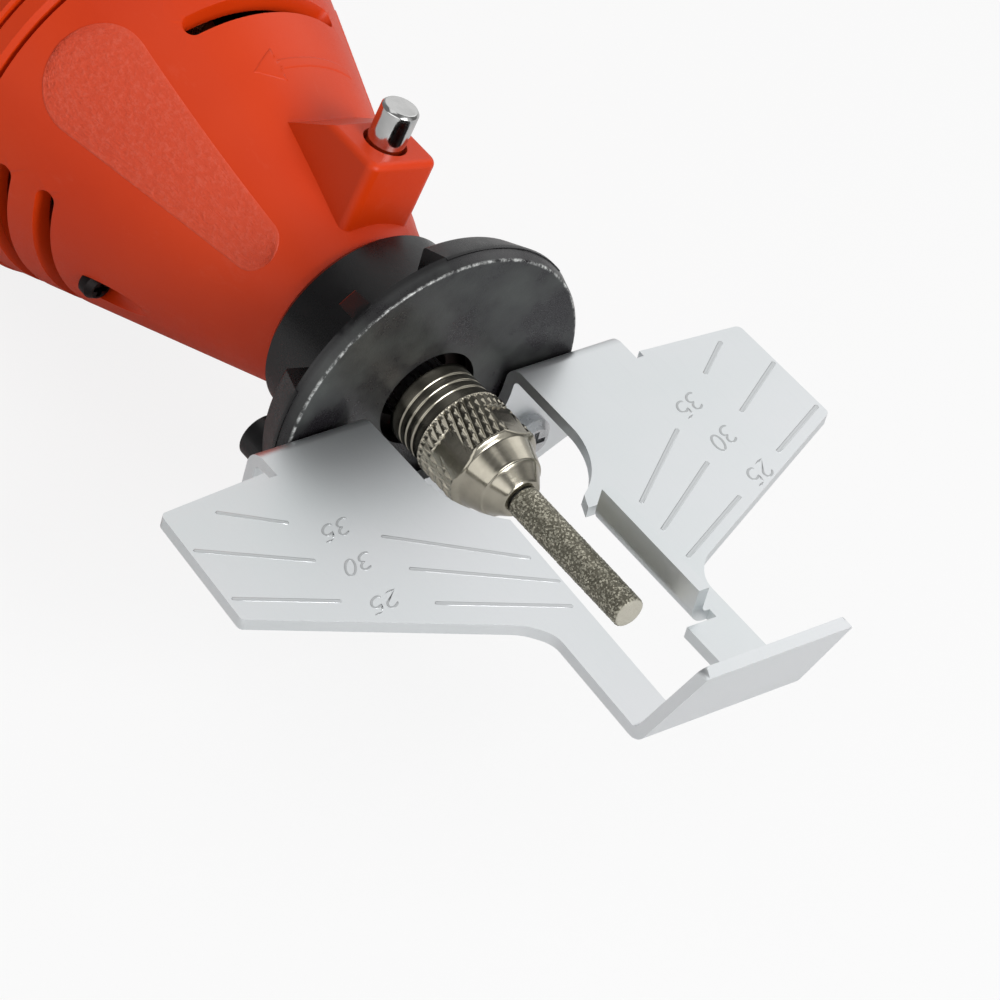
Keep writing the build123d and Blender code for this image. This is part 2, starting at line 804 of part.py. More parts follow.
def make_motor_housing():
    """Moulded barrel: front band and groove, stator ribs, brush tunnels and rear bulkhead."""
    groove_x = band_x - groove_width
    spigot_r = socket_r - spigot_clearance
    spigot_bore_r = spigot_r - spigot_wall
    spigot_x = socket_x - 0.1
    body = turned(
        (spigot_x, 0), (spigot_x, spigot_r), (nose_rear_x, spigot_r),
        (nose_rear_x, nose_rear_r - joint_depth), (barrel_x, nose_rear_r - joint_depth),
        (barrel_x, nose_rear_r + 0.1), (barrel_x - 0.6, band_r - 0.4), (band_x, band_r),
        (band_x, band_r - groove_depth), (groove_x, band_r - groove_depth),
        (groove_x, barrel_front_r - 0.3), (groove_x - 0.4, barrel_front_r),
        (barrel_rear_x + 0.5, barrel_rear_r), (barrel_rear_x, barrel_rear_r - 0.5), (barrel_rear_x, 0))
    body -= turned((spigot_x + 1, 0), (spigot_x + 1, spigot_bore_r), (band_x, spigot_bore_r),
                   (band_x, barrel_front_r - barrel_front_wall),
                   (barrel_rear_x - 1, barrel_rear_r - barrel_wall), (barrel_rear_x - 1, 0))
    body += bulkhead()
    for tunnel in brush_tunnels():
        body += tunnel
    rib_top = barrel_r(stator_x) - 1
    for index in range(stator_ribs):
        rib = bar(stator_rear_x, stator_x, stator_rib_width / 2, stator_r + fit_clearance, rib_top)
        rib += bar(stator_rear_x - stator_stop_length, stator_rear_x, stator_rib_width / 2,
                   stator_r - 2.5, rib_top - 1)
        body += around(rib & rod(stator_x, barrel_rear_x, rib_top), 360 / stator_ribs * (index + 0.5))
    body -= rod(stator_x, stator_rear_x, stator_r + fit_clearance)
    for place in nose_screw_places():
        boss = rod_at(nose_rear_x, stator_x + 0.3, nose_boss_r, place)
        web = Rot(math.degrees(math.atan2(place[1], place[0])) - 90, 0, 0) * bar(
            stator_x + 0.3, barrel_x, nose_boss_r * 0.7, nose_screw_circle_r, nose_rear_r - 0.8)
        body += boss + web
        tip_x = nose_screw_seat_x - nose_screw_length - screw_tip_gap
        body -= rod_at(0, tip_x, nose_screw_r + screw_fit, place)
    for place in cap_screw_places():
        tip_x = cap_screw_seat_x + cap_screw_length + screw_tip_gap
        body += rod_at(bulkhead_x, barrel_rear_x, barrel_boss_r, place)
        body -= rod_at(tip_x, barrel_rear_x - 1, screw_r + screw_fit, place)
    for bore in brush_bores():
        body -= bore
    return body


# ---------------------------------------------------------- rear cap and switch

def cap_shell(inset, front_x):
    """The rear cap's form, shrunk by an inset, open towards the front."""
    rear = cap_rear_x + inset
    body = turned((front_x, 0), (front_x, barrel_rear_r - inset), (rear, cap_rear_r - inset), (rear, 0))
    rounding = max(cap_round - inset, 1.0)
    return fillet(body.edges().filter_by(GeomType.CIRCLE).group_by(Axis.X)[0], rounding)


def make_rear_cap():
    """Moulded rear cap: switch pad, air slots, cord socket, capacitor cradle and screw bosses."""
    pad_half_x = switch_pad_length / 2
    pad_half_y = switch_pad_width / 2
    pad = bar(switch_x - pad_half_x, switch_x + pad_half_x, pad_half_y, 12, switch_pad_top)
    pad = fillet(pad.edges().filter_by(Axis.Z), 2.0)
    pad = fillet(pad.edges().group_by(Axis.Z)[-1], 0.8)
    under = bar(switch_x - pad_half_x + 1, switch_x + pad_half_x - 1, pad_half_y - 1,
                switch_pad_top - pad_thickness, switch_pad_top)
    shoulder = rod(barrel_rear_x, cap_x - 1, barrel_rear_r - joint_depth)
    body = cap_shell(0, cap_x) + shoulder + pad
    body -= cap_shell(cap_wall, barrel_rear_x + 1) - under
    spigot_r = barrel_rear_r - barrel_wall - spigot_clearance
    body += tube(barrel_rear_x + spigot_length, cap_x - 2, spigot_r - spigot_wall, spigot_r)
    body -= bar(switch_x - case_half_length - switch_fit, switch_x + case_half_length + switch_fit,
                case_half_width + switch_fit, switch_pocket_low, switch_pad_top + 1)
    for place in cap_screw_places():
        body += rod_at(barrel_rear_x, cap_rear_x + 1, cap_boss_r, place) & cap_shell(0.5, barrel_rear_x)
        body -= rod_at(cap_screw_seat_x, cap_rear_x - 5, screw_pocket_r, place)
        body -= rod_at(cap_x + 5, cap_screw_seat_x - 1, screw_r + screw_fit, place)
    vent = bar(switch_x - side_vent_length / 2, switch_x + side_vent_length / 2, side_vent_width / 2,
               side_vent_inner_r, barrel_rear_r + 5)
    vent = fillet(vent.edges().filter_by(Axis.Z), side_vent_width * 0.45)
    for index in range(side_vents):
        lean = side_vent_pitch * (index - (side_vents - 1) / 2)
        body -= around(vent, 90 + lean)
        body -= around(vent, -90 + lean)
    socket_front = cap_rear_x + grommet_length
    body += rod(socket_front, cap_rear_x + 0.5, grommet_r + socket_wall)
    body -= rod(socket_front, cap_rear_x - 1, grommet_r + fit_clearance)
    body -= rod(socket_front + 1, socket_front - 1, cord_r)
    cradle_low = -barrel_rear_r + cap_wall
    cradle = bar(capacitor_x, capacitor_x + capacitor_length, capacitor_width / 2 - 1, cradle_low,
                 -capacitor_top_drop - capacitor_height)
    return body + (cradle & cap_shell(0.5, cap_x))


def make_grommet():
    """Rubber bush that lines the cord inlet."""
    socket_front = cap_rear_x + grommet_length
    body = rod(socket_front, cap_rear_x, grommet_r)
    body += rod(cap_rear_x, cap_rear_x - grommet_flange, grommet_flange_r)
    body = fillet(body.edges().group_by(Axis.X)[0], 0.5)
    return body - rod(socket_front + 1, cap_rear_x - grommet_flange - 1, cord_r)


def make_capacitor():
    """Suppression capacitor lying in its cradle."""
    body = bar(capacitor_x, capacitor_x + capacitor_length, capacitor_width / 2,
               -capacitor_top_drop - capacitor_height, -capacitor_top_drop)
    return fillet(body.edges().filter_by(Axis.Y), 0.6)


def make_switch_body():
    """Snap-in rocker switch case with its bezel and two terminals."""
    top = switch_pad_top + bezel_thickness
    low = switch_pad_top - switch_depth
    body = bar(switch_x - case_half_length, switch_x + case_half_length, case_half_width, low, switch_pad_top)
    bezel = bar(switch_x - case_half_length - bezel_border, switch_x + case_half_length + bezel_border,
                case_half_width + bezel_border, switch_pad_top, top)
    body += fillet(bezel.edges().group_by(Axis.Z)[-1], 0.5)
    for side in (1, -1):
        x = switch_x + side * case_half_length * 0.5
        body += bar(x - 0.4, x + 0.4, 2.4, low - terminal_length, low + 1)
    body -= bar(switch_x - cavity_half_length, switch_x + cavity_half_length, cavity_half_width,
                pivot_z - rocker_r - rocker_gap, top + 1)
    pivot = Cylinder(rocker_pivot_r + thread_clearance, 2 * cavity_half_width + 1.2)
    return body - Pos(switch_x, 0, pivot_z - 1.5) * Rot(90, 0, 0) * pivot


def make_switch_rocker():
    """Rocker: a two-faced key on a half-round body with pivot studs, rocked to off."""
    drop = 1.5
    outline = Polyline((-rocker_r, 0, -drop), (-rocker_r, 0, rocker_proud), (0, 0, rocker_dip),
                       (rocker_r, 0, rocker_proud), (rocker_r, 0, -drop), close=True)
    key = extrude(make_face(outline), rocker_width / 2, both=True, dir=(0, 1, 0))
    key += Rot(90, 0, 0) * Cylinder(rocker_r - drop, rocker_width)
    key += Pos(0, 0, -drop) * Rot(90, 0, 0) * Cylinder(rocker_pivot_r, rocker_width + 2 * rocker_gap + 0.8)
    return Pos(switch_x, 0, pivot_z - drop) * Rot(0, rocker_angle, 0) * Pos(0, 0, drop) * key


# --------------------------------------------------------------- guide holder

def holder_form():
    """The holder's turned form: a rimmed disc and the collar round the nose stub."""
    return turned((disc_x, 0), (disc_x, disc_r - rim_chamfer), (disc_x - rim_chamfer, disc_r),
                  (rim_rear_x, rim_r), (rim_rear_x, collar_r), (holder_rear_x + collar_end_length, collar_r),
                  (holder_rear_x, collar_end_r), (holder_rear_x, 0))


def grip(middle, width):
    """Grip ear or rib behind the rim, over a width in degrees, with softened rear edges."""
    rear_x = rim_rear_x - ear_length
    points = [(rim_rear_x + 0.5, collar_r - 1), (rim_rear_x + 0.5, rim_r), (rim_rear_x, rim_r),
              (rear_x, ear_rear_r), (rear_x - ear_back_length, collar_r - 1)]
    profile = make_face(Polyline(*[(x, radius, 0) for x, radius in points], close=True))
    crest = profile.vertices().sort_by(Axis.X)[1]
    return around(revolve(fillet(crest, ear_round), Axis.X, revolution_arc=width), middle - width / 2)


def make_guide_holder():
    """Moulded holder: dished disc with grip ears and ribs, on a collar that fits the nose stub."""
    bore_x = disc_x - dish_depth - holder_web
    dish_radius = (dish_r ** 2 + dish_depth ** 2) / (2 * dish_depth)
    body = holder_form()
    for index in range(ear_count):
        middle = first_ear_angle + 360 / ear_count * index
        body += grip(middle, ear_angle) + grip(middle + 180 / ear_count, rib_angle)
    body -= Pos(disc_x + dish_radius - dish_depth, 0, 0) * Sphere(dish_radius)
    for y in (guide_screw_y, -guide_screw_y):
        place = (y, guide_screw_z)
        body += rod_at(disc_x, disc_x - guide_boss_length, guide_boss_r, place)
        body -= rod_at(0, disc_x - guide_screw_length - screw_tip_gap, screw_r + screw_fit, place)
    return body - rod(0, bore_x, dish_bore_r) - rod(bore_x, holder_rear_x - 1, stub_r + holder_clearance)


# ---------------------------------------------------------------- guide plate

def plate_outline():
    """Flat outline of the guide plate, without its opening."""
    slope = math.tan(math.radians(scale_slope_degrees))
    bend_x = disc_x + bend_outer_r
    half = [(bend_x, 0), (bend_x, tongue_half_width), (wing_root_x + 0.1, tongue_half_width),
            (wing_root_x + relief_depth, tongue_half_width),
            (wing_root_x + relief_depth, tongue_half_width + relief_width),
            (wing_root_x, tongue_half_width + relief_width), (wing_rear_x, wing_half_span - 0.4),
            (wing_edge_x - slope * wing_half_span, wing_half_span),
            (wing_edge_x - slope * leg_outer_y, leg_outer_y), (lip_x, lip_base_half_width)]
    mirrored = [(x, -y) for x, y in reversed(half[1:])]
    points = half[1:] + mirrored
    face = make_face(Polyline(*points, close=True))
    wing_corners = face.vertices().filter_by(lambda v: abs(v.Y) > wing_half_span - 1)
    face = fillet(wing_corners, wing_corner_r)
    root_x = wing_edge_x - slope * leg_outer_y
    leg_roots = face.vertices().filter_by(lambda v: abs(v.X - root_x) < 0.01)
    return fillet(leg_roots, leg_round)


def opening_outline():
    """The plate's opening: a round-shouldered gap for the nut and a slot for the burr."""
    rear_x = disc_x - 5
    left = slot_left_y
    right = flange_y
    notch_y = flange_y + bend_outer_r + 0.4
    lines = [
        Line((rear_x, -opening_half_width), (opening_bend_x, -opening_half_width)),
        ThreePointArc((opening_bend_x, -opening_half_width), (opening_mid_x, -opening_mid_y),
                      (opening_front_x, left)),
        Line((opening_front_x, left), (slot_front_x, left)),
        Line((slot_front_x, left), (slot_front_x, slot_right_y)),
        Line((slot_front_x, slot_right_y), (flange_end_x + relief_width, slot_right_y)),
        Line((flange_end_x + relief_width, slot_right_y), (flange_end_x + relief_width, notch_y)),
        Line((flange_end_x + relief_width, notch_y), (flange_end_x, notch_y)),
        Line((flange_end_x, notch_y), (flange_end_x, flange_y + bend_outer_r)),
        Line((flange_end_x, flange_y + bend_outer_r), (flange_start_x, flange_y + bend_outer_r)),
        Line((flange_start_x, flange_y + bend_outer_r), (flange_start_x, notch_y)),
        Line((flange_start_x, notch_y), (flange_start_x - relief_width, notch_y)),
        Line((flange_start_x - relief_width, notch_y), (flange_start_x - relief_width, right)),
        Line((flange_start_x - relief_width, right), (opening_front_x, right + 0.9)),
        ThreePointArc((opening_front_x, right + 0.9), (opening_mid_x, opening_mid_y),
                      (opening_bend_x, opening_half_width)),
        Line((opening_bend_x, opening_half_width), (rear_x, opening_half_width)),
        Line((rear_x, opening_half_width), (rear_x, -opening_half_width))]
    face = make_face(lines)
    front = face.vertices().group_by(Axis.X)[-1]
    return fillet(front, slot_corner_r)


def bend_face(degrees, reach):
    """Section of a strip that bends up from the XY plane's +X end, about the Y axis."""
    turn = math.radians(degrees)
    centre_z = plate_thickness + bend_inner_r

    def on_arc(radius, part):
        return (radius * math.sin(turn * part), 0, centre_z - radius * math.cos(turn * part))

    along = (math.cos(turn) * reach, 0, math.sin(turn) * reach)
    outer_end = on_arc(bend_outer_r, 1)
    inner_end = on_arc(bend_inner_r, 1)
    outer_far = tuple(a + b for a, b in zip(outer_end, along))
    inner_far = tuple(a + b for a, b in zip(inner_end, along))
    return make_face([
        ThreePointArc((0, 0, 0), on_arc(bend_outer_r, 0.5), outer_end),
        Line(outer_end, outer_far),
        Line(outer_far, inner_far),
        Line(inner_far, inner_end),
        ThreePointArc(inner_end, on_arc(bend_inner_r, 0.5), (0, 0, plate_thickness)),
        Line((0, 0, plate_thickness), (0, 0, 0))])


def make_lip():
    """Front lip: bent up, leaning forward and narrowing to rounded top corners."""
    degrees = 90 - lip_lean
    rise = lip_height - bend_inner_r * (1 - math.cos(math.radians(degrees)))
    reach = rise / math.sin(math.radians(degrees))
    strip = extrude(bend_face(degrees, reach), lip_base_half_width, both=True, dir=(0, 1, 0))
    top = lip_height + plate_thickness
    shield = Polyline((0, -lip_base_half_width, -1), (0, lip_base_half_width, -1),
                      (0, lip_base_half_width, 2), (0, lip_top_half_width, top),
                      (0, -lip_top_half_width, top), (0, -lip_base_half_width, 2), close=True)
    face = make_face(shield)
    face = fillet(face.vertices().group_by(Axis.Z)[-1], lip_corner_r)
    keeper = extrude(face, lip_height * 2, both=True, dir=(1, 0, 0))
    return Pos(lip_x, 0, plate_bottom) * (strip & keeper)


def make_flange():
    """Stiffening flange folded up along the right of the burr slot."""
    reach = flange_height - bend_inner_r
    strip = extrude(bend_face(90, reach), flange_end_x - flange_start_x, dir=(0, 1, 0))
    return Pos(flange_start_x, flange_y + bend_outer_r, plate_bottom) * Rot(0, 0, -90) * strip


def rear_wall():
    """Rear wall folded down against the holder, with its cut-out for the spindle."""
    bend_z = plate_bottom - bend_inner_r
    half = [(tongue_half_width, bend_z), (tongue_half_width, wall_corner_z),
            (wall_foot_half_width, wall_bottom_z)]
    mirrored = [(-y, z) for y, z in reversed(half)]
    points = [(disc_x, y, z) for y, z in half + mirrored]
    face = make_face(Polyline(*points, close=True))
    corners = face.vertices().filter_by(lambda v: v.Z < bend_z - 1)
    face = fillet(corners, wall_corner_r)
    wall = extrude(face, plate_thickness, dir=(1, 0, 0))
    fold = extrude(bend_face(90, 0.01), tongue_half_width, both=True, dir=(0, 1, 0))
    wall += Pos(disc_x + bend_outer_r, 0, plate_top) * Rot(0, 180, 0) * fold
    wall -= rod(0, disc_x - 1, opening_half_width)
    wall -= bar(disc_x - 1, 0, opening_half_width, 0, 10)
    for y in (guide_screw_y, -guide_screw_y):
        wall -= rod_at(0, disc_x - 1, screw_r + screw_fit, (y, guide_screw_z))
    return wall


def make_guide_plate():
    """Stamped and folded guide plate with wings, legs, lip, flange and rear wall."""
    flat = extrude(plate_outline() - opening_outline(), plate_thickness)
    return Pos(0, 0, plate_bottom) * flat + make_lip() + make_flange() + rear_wall()


def make_guide_screws():
    """The two screws that hold the plate on the holder."""
    screw = pan_screw(guide_screw_length + plate_thickness, screw_r, screw_head_r)
    return [Pos(disc_x + plate_thickness, y, guide_screw_z) * screw for y in (guide_screw_y, -guide_screw_y)]


# ------------------------------------------------------------------- assembly

def make_nose_screws():
    """The two screws from the nose's pockets into the barrel."""
    screw = pan_screw(nose_screw_length, nose_screw_r, nose_screw_head_r)
    return [Pos(nose_screw_seat_x, y, z) * screw for y, z in nose_screw_places()]


def make_cap_screws():
    """The two screws from the rear cap's pockets into the barrel."""
    screw = Rot(0, 0, 180) * pan_screw(cap_screw_length, screw_r, screw_head_r)
    return [Pos(cap_screw_seat_x, y, z) * screw for y, z in cap_screw_places()]


keep("burr", make_burr())
keep("collet", make_collet())
keep("collet_nut", make_collet_nut())
keep("spindle", make_spindle())
keep("lock_ring", around(make_lock_ring(), body_roll))
keep("front_bearing_inner", make_bearing_inner(front_bearing_x, front_bearing_width, spindle_r))
keep("rear_bearing_inner", make_bearing_inner(rear_bearing_x, rear_bearing_width, rear_journal_r))
keep("cooling_fan", make_fan())
keep("rotor_core", make_rotor_core())
keep("rotor_winding", make_rotor_winding())
keep("commutator", make_commutator())
keep("guide_holder", make_guide_holder())
keep("guide_plate", make_guide_plate())
keep("guide_screws", *make_guide_screws())

housed = {
    "nose_housing": [make_nose_housing()],
    "motor_housing": [make_motor_housing()],
    "rear_cap": [make_rear_cap()],
    "lock_pin": [make_lock_pin()],
    "lock_bush": [make_lock_bush()],
    "lock_spring": [make_lock_spring()],
    "bearing_retainer": [make_retainer()],
    "front_bearing_outer": [
        make_bearing_outer(front_bearing_x, front_bearing_width, front_bearing_r, spindle_r)],
    "rear_bearing_outer": [
        make_bearing_outer(rear_bearing_x, rear_bearing_width, rear_bearing_r, rear_journal_r)],
    "stator_core": [make_stator_core()],
    "stator_coils": make_stator_coils(),
    "carbon_brushes": make_brushes(),
    "brush_holders": make_brush_holders(),
    "brush_springs": make_brush_springs(),
    "brush_caps": make_brush_caps(),
    "nose_screws": make_nose_screws(),
    "cap_screws": make_cap_screws(),
    "switch_body": [make_switch_body()],
    "switch_rocker": [make_switch_rocker()],
    "cord_grommet": [make_grommet()],
    "capacitor": [make_capacitor()],
}
for name, solids in housed.items():
    keep(name, *[around(solid, body_roll) for solid in solids])

os.makedirs("parts", exist_ok=True)
for name, shape in nodes.items():
    export_step(shape, f"parts/{name}.step")
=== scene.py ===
"""Looks of a handheld chainsaw sharpener: finishes for its CAD nodes, and finer surfaces for the
knurled nut, the gritted burr, the lock pin, the grip pads and the guide plate's markings."""

import math
from functools import partial

import bmesh
import bpy
import numpy as np
from mathutils import Matrix, Vector


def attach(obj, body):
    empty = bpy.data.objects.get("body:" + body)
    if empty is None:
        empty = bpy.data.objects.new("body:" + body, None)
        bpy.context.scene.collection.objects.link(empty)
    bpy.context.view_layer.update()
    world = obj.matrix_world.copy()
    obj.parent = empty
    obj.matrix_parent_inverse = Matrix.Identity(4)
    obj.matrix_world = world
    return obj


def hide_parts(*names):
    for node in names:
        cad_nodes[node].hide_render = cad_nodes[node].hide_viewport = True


MM = 0.001
TURN = 2 * math.pi
BODY_ROLL = math.radians(-12.5)
POINT_WELD = 1e-7
CAD_WELD = 2e-6

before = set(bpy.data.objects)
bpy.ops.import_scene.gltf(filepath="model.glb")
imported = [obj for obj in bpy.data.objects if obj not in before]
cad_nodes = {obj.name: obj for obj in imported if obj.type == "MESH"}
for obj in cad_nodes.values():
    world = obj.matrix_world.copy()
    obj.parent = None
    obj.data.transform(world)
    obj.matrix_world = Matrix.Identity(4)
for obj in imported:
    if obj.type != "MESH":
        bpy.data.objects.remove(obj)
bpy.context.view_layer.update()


# --------------------------------------------------------------- shared helpers

def place_object(name, data):
    """New object that holds the data, linked to the scene."""
    made = bpy.data.objects.new(name, data)
    bpy.context.scene.collection.objects.link(made)
    return made


def add_node(tree, kind, inputs, **settings):
    """Shader node with its inputs set or linked; keys are input names or numbers."""
    made = tree.nodes.new("ShaderNode" + kind)
    for name, value in settings.items():
        setattr(made, name, value)
    for key, value in inputs.items():
        if isinstance(value, bpy.types.NodeSocket):
            tree.links.new(value, made.inputs[key])
        else:
            made.inputs[key].default_value = value
    return made


# ------------------------------------------------------------------ mesh making

def smoothed_step(low, high, value):
    """0 below low, 1 above high and the cubic 3t^2 - 2t^3 between them."""
    part = np.clip((value - low) / (high - low), 0, 1)
    return part * part * (3 - 2 * part)


def rolled(points):
    """Points turned with the housing about the spindle axis."""
    cosine, sine = math.cos(BODY_ROLL), math.sin(BODY_ROLL)
    x, y, z = np.moveaxis(points, -1, 0)
    return np.stack([x, y * cosine - z * sine, y * sine + z * cosine], -1)


def grid_faces(rows, columns, wrap_rows, wrap_columns):
    """Quads of a grid of points; a wrapped direction joins its last line to its first."""
    row = np.arange(rows if wrap_rows else rows - 1)[:, None]
    column = np.arange(columns if wrap_columns else columns - 1)[None, :]
    next_row, next_column = (row + 1) % rows, (column + 1) % columns
    corners = [row * columns + column, next_row * columns + column,
               next_row * columns + next_column, row * columns + next_column]
    return np.stack(np.broadcast_arrays(*corners), -1).reshape(-1, 4)


def all_but_ends(count):
    """Row of ones with a nought at each end."""
    row = np.ones(count)
    row[[0, -1]] = 0
    return row


def put_piece(name, points, faces, finish, body, replaces=()):
    """Piece from points in millimetres and quads. Its faces are turned outwards by the sign of the
    enclosed volume, the sum over the faces of corner . (corner x corner)."""
    points = points.reshape(-1, 3) * MM
    first, second, third, fourth = (points[faces[:, i]] for i in range(4))
    volume = np.einsum("ij,ij->", first, np.cross(second, third) + np.cross(third, fourth))
    if volume < 0:
        faces = faces[:, ::-1]
    mesh = bpy.data.meshes.new(name)
    mesh.vertices.add(len(points))
    mesh.vertices.foreach_set("co", points.astype(np.float32).ravel())
    mesh.loops.add(faces.size)
    mesh.loops.foreach_set("vertex_index", faces.astype(np.int32).ravel())
    mesh.polygons.add(len(faces))
    mesh.polygons.foreach_set("loop_start", np.arange(0, faces.size, 4, dtype=np.int32))
    mesh.update(calc_edges=True)
    weld(mesh, POINT_WELD)
    mesh.polygons.foreach_set("use_smooth", np.ones(len(mesh.polygons), bool))
    return dress_piece(name, mesh, finish, body, replaces)


def weld(mesh, distance):
    """Merges points that lie closer than the distance."""
    work = bmesh.new()
    work.from_mesh(mesh)
    bmesh.ops.remove_doubles(work, verts=work.verts, dist=distance)
    work.to_mesh(mesh)
    work.free()


def dress_piece(name, mesh, finish, body, replaces=()):
    """Object for a finished mesh, with its material, its body and the nodes it stands for."""
    piece = place_object(name, mesh)
    mesh.materials.clear()
    mesh.materials.append(finish)
    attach(piece, body)
    if replaces:
        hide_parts(*replaces)
    return piece


def fine_profile(corners, step):
    """Points along a polyline of (along, radius) corners, no further apart than the step; the
    corners themselves are kept."""
    corners = np.array(corners, float)
    runs = []
    for start, end in zip(corners[:-1], corners[1:]):
        count = max(1, math.ceil(np.linalg.norm(end - start) / step))
        runs.append(start + (end - start) * np.arange(count)[:, None] / count)
    return np.vstack([*runs, corners[-1:]])


def eased_corners(corners, radius):
    """Polyline with each inner corner cut back by the radius, or by most of half its side where
    that is less. A middle point is put half way from the two new ends to the corner, so that
    smooth shading stays in a narrow band."""
    corners = np.array(corners, float)
    most = 0.45
    made = [corners[0]]
    for before, corner, after in zip(corners[:-2], corners[1:-1], corners[2:]):
        reach_in = min(radius, np.linalg.norm(corner - before) * most)
        reach_out = min(radius, np.linalg.norm(after - corner) * most)
        entry = corner + (before - corner) * reach_in / np.linalg.norm(before - corner)
        leave = corner + (after - corner) * reach_out / np.linalg.norm(after - corner)
        made += [entry, (entry + leave + 2 * corner) / 4, leave]
    return np.array([*made, corners[-1]])


def turned_points(profile, count, shift=None):
    """Surface of revolution about X: a point is (along, radius cos a, radius sin a). The shift is
    an array over profile and angle that is added to the radius."""
    angle = TURN * np.arange(count) / count
    along = np.repeat(profile[:, :1], count, 1)
    radius = np.repeat(profile[:, 1:], count, 1)
    if shift is not None:
        radius = np.maximum(radius + shift(along, angle[None, :] + 0 * along, radius), 0)
    return np.stack([along, radius * np.cos(angle), radius * np.sin(angle)], -1)


# -------------------------------------------------------------------- materials

# Bands over which a finish changes, from their start to where the change is full, in metres: along
# the axis for the snout's painted shade, the burr and the disc's two faces, of which the back one
# starts painted shade, and out from the axis for its rim.
SNOUT_PAINTED_SHADE = (-0.0338, -0.0326)
DISC_BACK_PAINTED_SHADE = (-0.0192, -0.0186)
DISC_FACE = (-0.01785, -0.01768)
DISC_RIM = (0.02025, 0.0205)
BURR_COAT = (0.0, 0.0004)
BURR_TIP = (0.02025, 0.02038)
# The middle part of a noise, which is spread over the range of a finish's roughness.
GRAIN_MIDDLE = (0.3, 0.7)
# How dark a stain on bare metal is, as a share of its colour.
STAIN_SHADE = 0.72


def linear(red, green, blue):
    """Linear colour of an 8-bit display colour: ((c + 0.055) / 1.055) ^ 2.4 above the toe."""
    display = np.array([red, green, blue]) / 255
    value = np.where(display < 0.04045, display / 12.92, ((display + 0.055) / 1.055) ** 2.4)
    return (*value, 1.0)


def shaded(colour, share):
    """The colour with its red, green and blue multiplied by a share."""
    return (*(share * part for part in colour[:3]), 1.0)


class Finish:
    """A material with one Principled shader and short calls for the nodes that feed it."""

    def __init__(self, name, **sockets):
        self.material = bpy.data.materials.new(name)
        self.material.use_nodes = True
        self.tree = self.material.node_tree
        self.shader = self.tree.nodes["Principled BSDF"]
        self.place = self.tree.nodes.new("ShaderNodeTexCoord").outputs["Object"]
        for name, value in sockets.items():
            self.shader.inputs[name.replace("_", " ")].default_value = value

    def node(self, kind, inputs, **settings):
        """A node of this material."""
        return add_node(self.tree, kind, inputs, **settings)

    def feed(self, socket, source):
        """Links a node's output to the shader."""
        self.tree.links.new(source, self.shader.inputs[socket])

    def axes(self):
        """Object coordinates as the separate outputs X, Y and Z."""
        return self.node("SeparateXYZ", {"Vector": self.place}).outputs

    def stretched(self, scale):
        """Object coordinates scaled separately along each axis."""
        return self.node("Mapping", {"Vector": self.place, "Scale": scale}).outputs["Vector"]

    def noise(self, scale, detail=3.0, roughness=0.55, vector=None):
        """Fractal noise from 0 to 1."""
        inputs = {"Vector": vector or self.place, "Scale": scale, "Detail": detail,
                  "Roughness": roughness}
        return self.node("TexNoise", inputs).outputs["Fac"]

    def bands(self, scale, distortion, direction):
        """Soft bands from 0 to 1 that follow one another along an axis."""
        inputs = {"Vector": self.place, "Scale": scale, "Distortion": distortion}
        return self.node("TexWave", inputs, bands_direction=direction).outputs["Fac"]

    def spread(self, source, low, high, to_low=0.0, to_high=1.0):
        """The source mapped from low..high to to_low..to_high and clamped."""
        inputs = {"Value": source, "From Min": low, "From Max": high, "To Min": to_low,
                  "To Max": to_high}
        return self.node("MapRange", inputs).outputs["Result"]

    def math(self, operation, first, second=0.0):
        """One arithmetic step."""
        return self.node("Math", {0: first, 1: second}, operation=operation).outputs[0]

    def mixed(self, part, first, second):
        """Colour between two colours or sockets."""
        made = self.node("Mix", {"Factor": part, 6: first, 7: second}, data_type="RGBA")
        return made.outputs[2]

    def bump(self, height, distance, normal=None):
        """Surface relief from a height of 0 to 1, distance metres deep, on top of a normal."""
        inputs = {"Height": height, "Distance": distance, "Strength": 1.0}
        if normal is not None:
            inputs["Normal"] = normal
        return self.node("Bump", inputs).outputs["Normal"]


def orange_plastic(name, grain_depth, pale=0.0):
    """Satin orange nylon: slow colour drift, fine moulding grain and faint scuffs. The snout
    inside the holder is painted dark as painted shade. The pale share paints a sheen on the grain:
    it moves the colour towards a paler chalky tone, in random specks."""
    made = Finish(name, Specular_IOR_Level=0.28)
    drift = made.spread(made.noise(45, 2), 0.35, 0.65)
    base = made.mixed(drift, linear(200, 51, 0), linear(206, 58, 8))
    # Painted shade: the snout that sits inside the holder is darkened towards near black.
    snout = made.spread(made.axes()["X"], *SNOUT_PAINTED_SHADE)
    base = made.mixed(snout, base, linear(26, 20, 18))
    grain = made.noise(5200, 2, 0.6)
    scuff = made.spread(made.noise(260, 5, 0.7, made.stretched((0.3, 1, 1))), 0.60, 0.78)
    worn = made.mixed(made.math("MULTIPLY", scuff, 0.25), base, linear(214, 100, 76))
    # Painted sheen: the grip pads' grain gets a paler chalky tone, broken into random specks.
    if pale:
        speck = made.spread(made.noise(1500, 4, 0.75), 0.48, 0.66)
        share = made.math("ADD", made.math("MULTIPLY", speck, pale), pale)
        worn = made.mixed(share, worn, linear(222, 112, 92))
    made.feed("Base Color", worn)
    made.feed("Roughness", made.spread(grain, *GRAIN_MIDDLE, 0.36, 0.48))
    broad = made.bump(made.noise(700, 3), 0.00002)
    normal = made.bump(grain, grain_depth, broad)
    if pale:
        normal = made.bump(made.noise(1500, 4, 0.75), 0.00012, normal)
    made.feed("Normal", normal)
    return made.material


